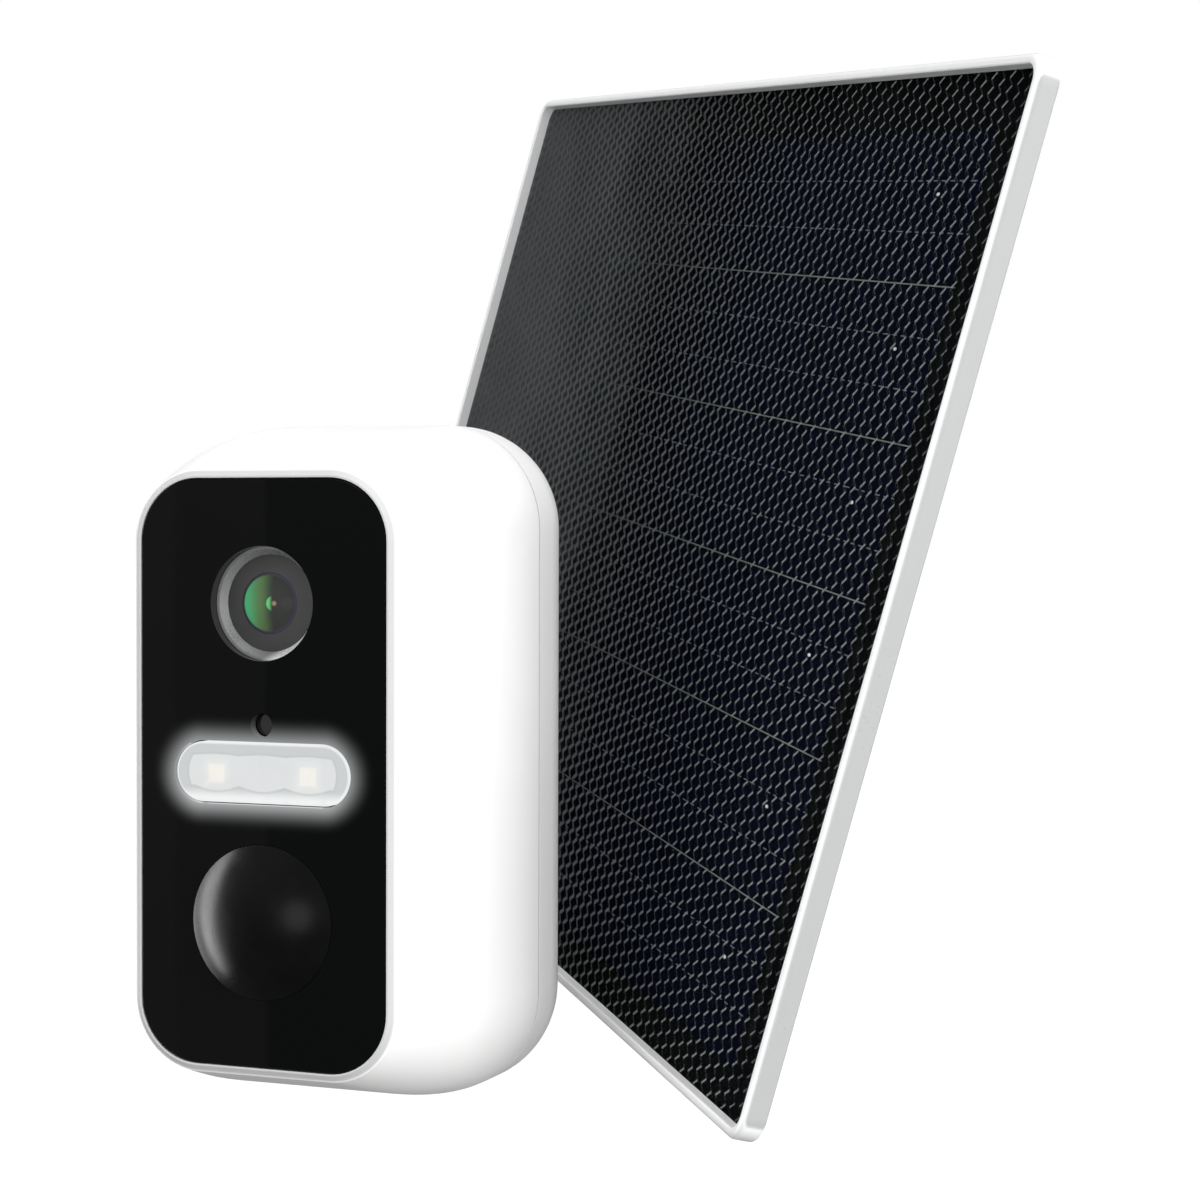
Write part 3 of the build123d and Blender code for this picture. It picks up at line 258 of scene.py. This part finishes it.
def glass_black():
    """Black glass: almost no diffuse colour, faint tone steps, and a painted glow of the light round its slot,
    emitted by the glass itself.
    """
    s = Shade("glass_black")
    x = s.along((1, 0, 0), GLASS_CENTRE)
    z = s.along((0, 0, 1), GLASS_CENTRE)
    drift = s.noise(0.02, 3.0)
    wander = s.math("ADD", x, s.math("MULTIPLY", drift, 1.2))
    base = s.mix(s.smooth(wander, -16.5, -15.0), (0.0054, 0.0054, 0.0054), (0.0044, 0.0044, 0.0044))
    base = s.mix(s.smooth(wander, 0.6, 2.2), base, (0.0020, 0.0026, 0.0025))
    base = s.mix(s.smooth(drift, 0.35, 0.75, 0.0, 0.25), base, (0.0018, 0.0020, 0.0020))
    facing = s.tree.nodes.new("ShaderNodeSeparateXYZ")
    s.link(s.tree.nodes.new("ShaderNodeTexCoord").outputs["Normal"], facing.inputs[0])
    edge = s.smooth(s.math("ABSOLUTE", facing.outputs["Y"]), 0.6, 0.2)
    base = s.mix(edge, base, (0.034, 0.034, 0.034))
    # Painted glow: the glass itself emits round the slot, where the light would bleed into it.
    away = s.math("SUBTRACT", s.length(s.past(x, SLOT_STRAIGHT), z), SLOT_HALF_HEIGHT)
    near = s.math("POWER", s.smooth(away, 5.2, -1.2), 2.4)
    near = s.math("MULTIPLY", near, s.smooth(z, -5.0, 6.0, 0.52, 0.40))
    near = s.math("MULTIPLY", near, s.smooth(s.math("ABSOLUTE", x), 12.0, 18.0, 1.0, 0.7))
    s.set(Base_Color=base, Roughness=s.smooth(drift, 0.3, 0.7, 0.035, 0.075), Specular_IOR_Level=0.07)
    s.set(Emission_Color=(0.9, 0.92, 0.93, 1.0), Emission_Strength=near)
    s.set(Normal=s.bump(s.noise(0.015, 1.0), 0.000004))
    return s


keep("glass_black", glass_black())


def pir_black():
    """Smooth black dome with faint moulded facets of the lens array."""
    s = Shade("pir_black")
    drift = s.noise(0.008, 3.0)
    base = s.mix(s.smooth(drift, 0.3, 0.7), (0.001, 0.001, 0.0011), (0.002, 0.002, 0.0022))
    s.set(Base_Color=base, Roughness=s.smooth(drift, 0.3, 0.7, 0.24, 0.3), Specular_IOR_Level=0.13)
    s.set(Normal=s.bump(s.noise(0.0015, 1.0), 0.0000003))
    return s


keep("pir_black", pir_black())


# The lens: the centre of its front, and how far right of it the painted iris ghost and its painted warm spot are,
# in metres.
LENS_CENTRE = GLASS_CENTRE + Vector((0, 0, 0.0284))
GHOST_SHIFT = Vector((0.0012, 0, 0))
SPOT_SHIFT = Vector((0.0014, 0, 0))
LOW_RIGHT = (0.6, 0.0, -0.8)


def ring_grey():
    """Satin grey hood ring with a painted highlight: a bright arc low on the right."""
    s = finish("ring_grey", (0.24, 0.24, 0.245), 0.28, grain=0.0003, relief=0.000001, vary=0.03, patch=0.006,
               metal=0.25, coat=0.4)
    # Painted highlight: the arc low on the right is painted near white.
    paint_over(s, s.smooth(s.along(LOW_RIGHT, LENS_CENTRE), 6.6, 8.6), (0.92, 0.92, 0.92))
    return s


keep("ring_grey", ring_grey())


def lens_coated():
    """Coated front lens: a painted reflection of the coating, green on one side running to dark; a violet rim; and
    a small painted ghost of the iris with a warm spot.
    """
    s = Shade("lens_coated")
    x = s.along((1, 0, 0), LENS_CENTRE)
    z = s.along((0, 0, 1), LENS_CENTRE)
    radius = s.length(x, z)
    drift = s.noise(0.006, 2.0)
    shifted = s.math("ADD", x, s.math("MULTIPLY", drift, 0.8))
    # Painted reflection of the coating: green on the left running to dark on the right.
    base = s.mix(s.smooth(shifted, -4.6, -0.6), (0.085, 0.50, 0.22), (0.10, 0.18, 0.075))
    base = s.mix(s.smooth(shifted, -1.2, 1.6), base, (0.040, 0.042, 0.040))
    base = s.mix(s.smooth(radius, 4.55, 4.85), base, (0.058, 0.05, 0.075))
    # Painted reflections: the ghost of the iris as a green crescent, and a warm spot in it.
    ghost_x = s.along((1, 0, 0), LENS_CENTRE + GHOST_SHIFT)
    ghost = s.length(ghost_x, z)
    crescent = s.math("MULTIPLY", s.smooth(ghost, 1.35, 1.1), s.smooth(ghost_x, -0.1, -0.9))
    base = s.mix(crescent, base, (0.12, 0.50, 0.17))
    spot = s.length(s.along((1, 0, 0), LENS_CENTRE + SPOT_SHIFT), z)
    base = s.mix(s.smooth(spot, 0.6, 0.1), base, (0.30, 0.22, 0.12))
    s.set(Base_Color=base, Roughness=s.smooth(drift, 0.3, 0.7, 0.06, 0.1), Specular_IOR_Level=0.03)
    return s


keep("lens_coated", lens_coated())


# The light behind its cover, in millimetres.
LED_PITCH = 8.6
LED_DROP = 0.2
COVER_STRAIGHT = 11.2
WINDOW_STRAIGHT = 10.7
WINDOW_ROUND = 3.3


def light_diffuser():
    """Frosted cover lit from behind: a window with scalloped edges, a paler lip and two warm emitters."""
    s = Shade("light_diffuser")
    x = s.along((1, 0, 0), GLASS_CENTRE)
    z = s.along((0, 0, 1), GLASS_CENTRE)
    drift = s.noise(0.0035, 3.0)
    lobe = s.math("ABSOLUTE", s.math("COSINE", s.math("MULTIPLY", x, pi / LED_PITCH)))
    low = s.math("ADD", z, s.math("ADD", s.math("MULTIPLY", lobe, 0.85), 2.35))
    high = s.math("SUBTRACT", s.math("ADD", s.math("MULTIPLY", lobe, 0.25), 2.95), z)
    past = s.past(x, WINDOW_STRAIGHT)
    flattened = s.math("MULTIPLY", s.math("MULTIPLY", z, z), 0.6)
    ends = s.math("SQRT", s.math("ADD", s.math("MULTIPLY", past, past), flattened))
    ends = s.math("SUBTRACT", WINDOW_ROUND, ends)
    inside = s.math("MINIMUM", s.math("MINIMUM", low, high), ends)
    window = s.smooth(inside, -0.15, 0.3)
    edge = s.length(s.past(x, COVER_STRAIGHT), z)
    lip = s.mix(s.smooth(z, -4.4, -2.4), (0.88, 0.89, 0.89), (0.60, 0.62, 0.625))
    lit = s.mix(window, lip, (0.735, 0.75, 0.755))
    lit = s.mix(s.smooth(s.math("ABSOLUTE", inside), 0.3, 0.05, 0.0, 0.45), lit, (0.50, 0.515, 0.52))
    lit = s.mix(s.smooth(edge, 4.6, 4.95), lit, (0.86, 0.87, 0.87))
    side = s.math("ABSOLUTE", s.math("SUBTRACT", s.math("ABSOLUTE", x), LED_PITCH))
    square = s.math("MAXIMUM", side, s.math("ABSOLUTE", s.math("ADD", z, LED_DROP)))
    lit = s.mix(s.smooth(square, 3.4, 0.8, 0.0, 0.55), lit, (0.88, 0.88, 0.87))
    lit = s.mix(s.smooth(square, 1.7, 1.3, 0.0, 0.8), lit, (0.92, 0.885, 0.82))
    lit = s.mix(s.smooth(drift, 0.45, 0.8, 0.0, 0.3), lit, (0.62, 0.64, 0.65))
    s.set(Base_Color=(0.0, 0.0, 0.0, 1.0), Roughness=s.smooth(drift, 0.3, 0.7, 0.3, 0.42))
    s.set(Emission_Color=lit, Emission_Strength=1.0, Specular_IOR_Level=0.2)
    s.set(Normal=s.bump(s.noise(0.0005, 2.0), 0.00001))
    return s


keep("light_diffuser", light_diffuser())


def led_yellow():
    """Phosphor of the emitters, lit."""
    s = finish("led_yellow", (0.9, 0.78, 0.4), 0.5, grain=0.0002, vary=0.1, patch=0.001)
    s.set(Emission_Color=(1.0, 0.93, 0.8, 1.0), Emission_Strength=2.0)
    return s


keep("led_yellow", led_yellow())

# The panel in millimetres: half sizes of its frame, the pitch of its cell rows and how far below the
# centre the rows are, then the honeycomb of wavy ridges, each half a period out of step with the next.
FRAME_HALF_WIDTH = 132.6
FRAME_HALF_HEIGHT = 91.9
FRAME_WALL_PAINTED_SHADE = (0.44, 0.45, 0.45)
ROW_PITCH = 27.3
ROW_DROP = 1.4
RIDGE_PITCH = 3.3
RIDGE_PERIOD = 2.55
RIDGE_SWING = 0.18


def panel_places(s):
    """Distances across and up the panel from its centre, in millimetres."""
    return s.along(PANEL_U, PANEL_CENTRE), s.along(PANEL_V, PANEL_CENTRE)


def panel_white():
    """Satin white frame and back, with painted shade: the outer wall round the frame is painted greyer."""
    s = finish("panel_white", (0.92, 0.925, 0.93), 0.34, grain=0.0008, relief=0.0000005, vary=0.015, patch=0.04)
    across, up = panel_places(s)
    ends = s.smooth(s.math("ABSOLUTE", across), FRAME_HALF_WIDTH - 0.4, FRAME_HALF_WIDTH - 0.1)
    sides = s.smooth(s.math("ABSOLUTE", up), FRAME_HALF_HEIGHT - 0.4, FRAME_HALF_HEIGHT - 0.1)
    # Painted shade on the frame's outer wall.
    paint_over(s, s.math("MAXIMUM", ends, sides), FRAME_WALL_PAINTED_SHADE)
    return s


keep("panel_white", panel_white())


def cell_strip(s, up):
    """Height on the panel counted in rows of cells, a whole number at each gap."""
    return s.math("DIVIDE", s.math("ADD", up, ROW_DROP + 3 * ROW_PITCH), ROW_PITCH)


def wrap(s, value):
    """Distance from the nearest whole number, 0 to 0.5."""
    return s.math("ABSOLUTE", s.math("SUBTRACT", s.math("FRACT", s.math("ADD", value, 0.5)), 0.5))


def ridge_set(s, across, up, width, quiet, way):
    """Every second ridge: its line, bright and broad where it leans over and quiet where it returns."""
    turn = s.math("MULTIPLY", up, 2 * pi / RIDGE_PERIOD)
    swing = s.math("MULTIPLY", s.math("SINE", turn), way * RIDGE_SWING)
    lean = s.smooth(s.math("MULTIPLY", s.math("COSINE", turn), way), -0.5, 0.6)
    step = s.math("SUBTRACT", s.math("DIVIDE", across, RIDGE_PITCH), 0.5 * (1 - way))
    place = s.math("MULTIPLY", s.math("SUBTRACT", step, swing), 0.5)
    gap = s.math("MULTIPLY", wrap(s, place), 2 * RIDGE_PITCH)
    reach = s.math("MULTIPLY", width, s.smooth(lean, 0.0, 1.0, 0.72, 1.0))
    line = s.smooth(s.math("SUBTRACT", gap, reach), 0.14, -0.22)
    return s.math("MULTIPLY", line, s.math("MAXIMUM", lean, quiet))


def ridges(s, across, up, width, quiet):
    """Both interleaved sets of ridges."""
    one_way, other_way = (ridge_set(s, across, up, width, quiet, way) for way in (1, -1))
    return s.math("MAXIMUM", one_way, other_way)


def panel_glass():
    """Clear embossed cover: see-through hollows between pale ridges, their pale colour a painted highlight, fading
    on the far side to an opaque grey haze that is painted sheen.
    """
    s = Shade("panel_glass")
    across, up = panel_places(s)
    drift = s.noise(0.03, 3.0)
    fleck = s.noise(0.0022, 3.0, 0.6)
    place = s.math("ADD", across, s.math("ADD", s.math("MULTIPLY", drift, 50.0), s.math("MULTIPLY", up, 0.18)))
    near = s.smooth(place, 5.0, 135.0)
    width = s.smooth(place, -60.0, 115.0, 1.22, 0.36)
    height = ridges(s, across, up, width, s.smooth(place, -40.0, 110.0, 0.95, 0.16))
    # Painted highlight: the ridges are drawn pale on the near side and dark on the far side.
    colour = s.mix(near, (0.046, 0.051, 0.052), (0.225, 0.245, 0.24))
    colour = s.mix(s.smooth(fleck, 0.45, 0.8, 0.0, 0.7), colour, (0.05, 0.06, 0.075))
    s.set(Base_Color=colour, Roughness=s.smooth(drift, 0.3, 0.7, 0.3, 0.42), Specular_IOR_Level=0.05)
    s.set(Normal=s.bump(height, 0.0001, 0.5))
    front = s.smooth(s.along(PANEL_BACK, PANEL_CENTRE), 0.0, -0.2)
    clear = s.tree.nodes.new("ShaderNodeBsdfTransparent")
    clear.inputs[0].default_value = (0.97, 0.98, 0.98, 1.0)
    join = s.tree.nodes.new("ShaderNodeMixShader")
    # Painted sheen: the far side of the cover turns opaque grey.
    painted_sheen = s.smooth(place, -110.0, 30.0, 0.75, 0.006)
    edge = s.smooth(across, 117.0, 126.0, 0.92, 0.35)
    shown = s.math("MAXIMUM", s.math("MULTIPLY", height, edge), painted_sheen)
    s.link(s.math("MULTIPLY", shown, front), join.inputs[0])
    s.link(clear.outputs[0], join.inputs[1])
    s.link(s.bsdf.outputs[0], join.inputs[2])
    s.link(join.outputs[0], s.out.inputs[0])
    return s


keep("panel_glass", panel_glass())


# Marks on the cells: bus bars as shares of a row, and columns of solder dots with their brightness.
BUS_BARS = (0.3333, 0.6667)
DOT_HEIGHT = 0.58
DOT_COLUMNS = ((102.0, 0.75), (-107.6, 0.12))


def silicon_blue():
    """Solar cell: blue-black silicon with two bus bars in each row, and a painted reflection of the ridges in it.
    """
    s = Shade("silicon_blue")
    across, up = panel_places(s)
    drift = s.noise(0.03, 3.0)
    crystal = s.noise(0.004, 4.0, 0.6)
    near = s.smooth(across, -60.0, 60.0)
    base = s.mix(near, (0.0022, 0.0028, 0.0032), (0.0026, 0.0032, 0.0098))
    base = s.mix(s.smooth(crystal, 0.4, 0.75, 0.0, 0.5), base, (0.0012, 0.0014, 0.004))
    # Painted reflection: a fainter, shifted copy of the cover's ridges drawn on the cell.
    painted_reflection = ridges(s, s.math("ADD", across, 1.6), s.math("ADD", up, 0.45),
                      s.smooth(across, -60.0, 60.0, 0.3, 0.16), 0.5)
    painted_reflection = s.math("MULTIPLY", painted_reflection, s.smooth(across, -20.0, 70.0, 0.0, 0.8))
    base = s.mix(painted_reflection, base, (0.10, 0.11, 0.135))
    strip = cell_strip(s, up)
    lower, upper = (wrap(s, s.math("SUBTRACT", strip, share)) for share in BUS_BARS)
    bars = s.math("MINIMUM", lower, upper)
    broken = s.math("ADD", s.math("DIVIDE", across, RIDGE_PITCH), s.math("MULTIPLY", s.noise(0.012, 1.0), 2.0))
    bar = s.math("MULTIPLY", s.smooth(bars, 0.0048, 0.0026), s.smooth(wrap(s, broken), 0.2, 0.3))
    base = s.mix(s.math("MULTIPLY", bar, s.smooth(across, -110.0, 40.0, 0.08, 0.85)), base, (0.17, 0.19, 0.20))
    dot_up = s.math("MULTIPLY", wrap(s, s.math("SUBTRACT", strip, DOT_HEIGHT)), 2 * ROW_PITCH)
    for column, glow in DOT_COLUMNS:
        far = s.length(dot_up, s.math("SUBTRACT", across, column))
        base = s.mix(s.smooth(far, 0.75, 0.45), base, (glow, glow, glow))
    s.set(Base_Color=base, Roughness=s.smooth(drift, 0.3, 0.7, 0.45, 0.55), Specular_IOR_Level=0.0)
    s.set(Normal=s.bump(crystal, 0.000005))
    return s


keep("silicon_blue", silicon_blue())


def backing_black():
    """Black backing sheet, with the pale tape that shows in the gaps between the rows of cells."""
    s = Shade("backing_black")
    across, up = panel_places(s)
    drift = s.noise(0.02, 3.0)
    base = s.mix(s.smooth(drift, 0.3, 0.7), (0.0028, 0.003, 0.0035), (0.0045, 0.0048, 0.0052))
    strip = cell_strip(s, up)
    seam = s.smooth(wrap(s, strip), 0.006, 0.003)
    seam = s.math("MULTIPLY", seam, s.smooth(s.math("ABSOLUTE", up), 76.0, 74.0))
    seam = s.math("MULTIPLY", seam, s.smooth(s.math("ABSOLUTE", across), 118.0, 116.5))
    base = s.mix(s.math("MULTIPLY", seam, s.smooth(across, -80.0, 80.0, 0.12, 0.85)), base, (0.24, 0.27, 0.27))
    s.set(Base_Color=base, Roughness=s.smooth(drift, 0.3, 0.7, 0.5, 0.6), Specular_IOR_Level=0.0)
    s.set(Normal=s.bump(s.noise(0.002, 2.0), 0.00001))
    return s


keep("backing_black", backing_black())
keep_plain("ribbon_tin", (0.006, 0.0065, 0.007), 0.6, vary=0.3, patch=0.004, specular=0.0)

slot_of = {entry["node"]: entry["material_slot"] for entry in frame["record"]["subparts"]}
for name, piece in nodes.items():
    piece.data.materials.clear()
    piece.data.materials.append(finishes[slot_of[name]])

# ---------------------------------------------------------------- motion sensor dome, smooth to its apex

DOME_HEIGHT = -0.0249
DOME_RADIUS = 0.013
DOME_RISE = 0.004
DOME_TURNS = 128
DOME_RINGS = 40
FLANGE = ((DOME_RADIUS, 0.0017), (0.01375, 0.0017), (0.01375, 0.0027), (0.012, 0.0027))
SHARP_ANGLE = radians(30)
dome_centre = GLASS_CENTRE + Vector((0, 0, DOME_HEIGHT))
sphere = (DOME_RADIUS ** 2 + DOME_RISE ** 2) / (2 * DOME_RISE)
rim_angle = asin(DOME_RADIUS / sphere)
profile = []
for i in range(1, DOME_RINGS + 1):
    angle = rim_angle * i / DOME_RINGS
    profile.append((sphere * sin(angle), sphere * (1 - cos(angle)) - DOME_RISE))
profile += FLANGE
builder = bmesh.new()
apex = builder.verts.new((dome_centre.x, dome_centre.y - DOME_RISE, dome_centre.z))
rings = []
for radius, depth in profile:
    ring = []
    for k in range(DOME_TURNS):
        angle = 2 * pi * k / DOME_TURNS
        ring.append(builder.verts.new((dome_centre.x + radius * cos(angle), dome_centre.y + depth,
                                       dome_centre.z + radius * sin(angle))))
    rings.append(ring)
for k in range(DOME_TURNS):
    after = (k + 1) % DOME_TURNS
    builder.faces.new((apex, rings[0][k], rings[0][after]))
    for inner, outer in zip(rings, rings[1:]):
        builder.faces.new((inner[k], outer[k], outer[after], inner[after]))
builder.faces.new(rings[-1])
bmesh.ops.recalc_face_normals(builder, faces=builder.faces)
for face in builder.faces:
    face.smooth = True
for edge in builder.edges:
    if len(edge.link_faces) == 2 and edge.calc_face_angle() > SHARP_ANGLE:
        edge.smooth = False
dome_mesh = bpy.data.meshes.new("pir_dome")
builder.to_mesh(dome_mesh)
builder.free()
dome = bpy.data.objects.new("pir_dome", dome_mesh)
bpy.context.scene.collection.objects.link(dome)
dome_mesh.materials.append(finishes["pir_black"])
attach(dome, "camera")
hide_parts("pir_lens")

# ---------------------------------------------------------------- stage, light and view


def soft_card(name, place, aim, width, height, power, accent=False, gloss=True):
    """Soft box at a place, facing a point. An accent shows only in gloss."""
    data = bpy.data.lights.new(name, "AREA")
    data.shape = "ELLIPSE" if accent else "RECTANGLE"
    data.size = width
    data.size_y = height
    data.energy = power
    card = bpy.data.objects.new(name, data)
    card.location = place
    card.rotation_euler = (Vector(aim) - Vector(place)).to_track_quat("-Z", "Y").to_euler()
    card.visible_diffuse = not accent
    card.visible_glossy = gloss
    bpy.context.scene.collection.objects.link(card)


MIDDLE = (0.06, -0.2, 0.02)
DOME_AIM = (0.05, -0.25, 0.0)
# The first three light the surfaces and don't show in gloss. The accents do only that.
soft_card("right", (1.35, -0.75, 0.3), MIDDLE, 1.2, 1.2, 18.0, gloss=False)
soft_card("front", (0.5, -1.6, -0.15), MIDDLE, 1.0, 1.0, 7.0, gloss=False)
soft_card("fill", (-0.7, -1.6, 0.55), MIDDLE, 1.2, 1.2, 4.0, gloss=False)
soft_card("left_accent", (-1.2, -0.55, 0.0), DOME_AIM, 0.4, 1.9, 30.0, accent=True)
soft_card("front_accent", (0.38, -1.7, 0.02), DOME_AIM, 0.6, 0.6, 3.0, accent=True)

sun_data = bpy.data.lights.new("ceiling", "SUN")
sun_data.energy = 1.1
sun_data.angle = radians(40)
bpy.context.scene.collection.objects.link(bpy.data.objects.new("ceiling", sun_data))

FLOOR = -0.42
FLOOR_REACH = 30
floor_corners = [(-FLOOR_REACH, -FLOOR_REACH, FLOOR), (FLOOR_REACH, -FLOOR_REACH, FLOOR),
                 (FLOOR_REACH, FLOOR_REACH, FLOOR), (-FLOOR_REACH, FLOOR_REACH, FLOOR)]
floor_mesh = bpy.data.meshes.new("floor")
floor_mesh.from_pydata(floor_corners, [], [(0, 1, 2, 3)])
floor = bpy.data.objects.new("floor", floor_mesh)
bpy.context.scene.collection.objects.link(floor)
floor_shade = finish("floor_pale", (0.95, 0.95, 0.95), 0.8, grain=0.01, vary=0.01, patch=0.5, specular=0.1)
floor_shade.set(Emission_Color=(1.0, 1.0, 1.0, 1.0), Emission_Strength=0.12)
floor_mesh.materials.append(floor_shade.mat)
floor.visible_diffuse = False
floor.visible_glossy = False

# The studio is bright above and dimmer below, and its walls are white.
world = bpy.data.worlds.new("studio")
bpy.context.scene.world = world
world.use_nodes = True
tree = world.node_tree
tree.nodes.clear()
out = tree.nodes.new("ShaderNodeOutputWorld")
path = tree.nodes.new("ShaderNodeLightPath")
height = tree.nodes.new("ShaderNodeSeparateXYZ")
tree.links.new(tree.nodes.new("ShaderNodeTexCoord").outputs["Generated"], height.inputs[0])


def sky(below, above):
    """White background that runs from one strength below to another above."""
    ramp = tree.nodes.new("ShaderNodeMapRange")
    ramp.interpolation_type = "SMOOTHSTEP"
    tree.links.new(height.outputs["Z"], ramp.inputs[0])
    for socket, value in zip(ramp.inputs[1:5], (-0.4, 0.3, below, above)):
        socket.default_value = value
    node = tree.nodes.new("ShaderNodeBackground")
    node.inputs[0].default_value = (1.0, 1.0, 1.0, 1.0)
    tree.links.new(ramp.outputs[0], node.inputs[1])
    return node.outputs[0]


def choose(factor, a, b):
    """The shader b where the factor is 1, and a elsewhere."""
    node = tree.nodes.new("ShaderNodeMixShader")
    for source, socket in zip((factor, a, b), node.inputs):
        tree.links.new(source, socket)
    return node.outputs[0]


room = choose(path.outputs["Is Glossy Ray"], sky(0.25, 0.65), sky(0.30, 0.6))
tree.links.new(choose(path.outputs["Is Camera Ray"], room, sky(1.0, 1.0)), out.inputs[0])

VIEW_PLACE = GLASS_CENTRE + Vector((0.21485, -0.39208, 0.04071))
VIEW_AHEAD = Vector((-0.366, 0.930, -0.026)).normalized()
VIEW_RIGHT = Vector((0.930, 0.367, 0.003))
VIEW_RIGHT = (VIEW_RIGHT - VIEW_AHEAD * VIEW_RIGHT.dot(VIEW_AHEAD)).normalized()
VIEW_UP = VIEW_RIGHT.cross(VIEW_AHEAD)
camera_data = bpy.data.cameras.new("view")
camera_data.lens = 80
camera_data.sensor_width = 36
camera_data.clip_start = 0.01
camera = bpy.data.objects.new("view", camera_data)
bpy.context.scene.collection.objects.link(camera)
turn = Matrix((VIEW_RIGHT, VIEW_UP, -VIEW_AHEAD)).transposed()
camera.matrix_world = Matrix.Translation(VIEW_PLACE) @ turn.to_4x4()
bpy.context.scene.camera = camera
bpy.context.scene.view_settings.view_transform = "Standard"
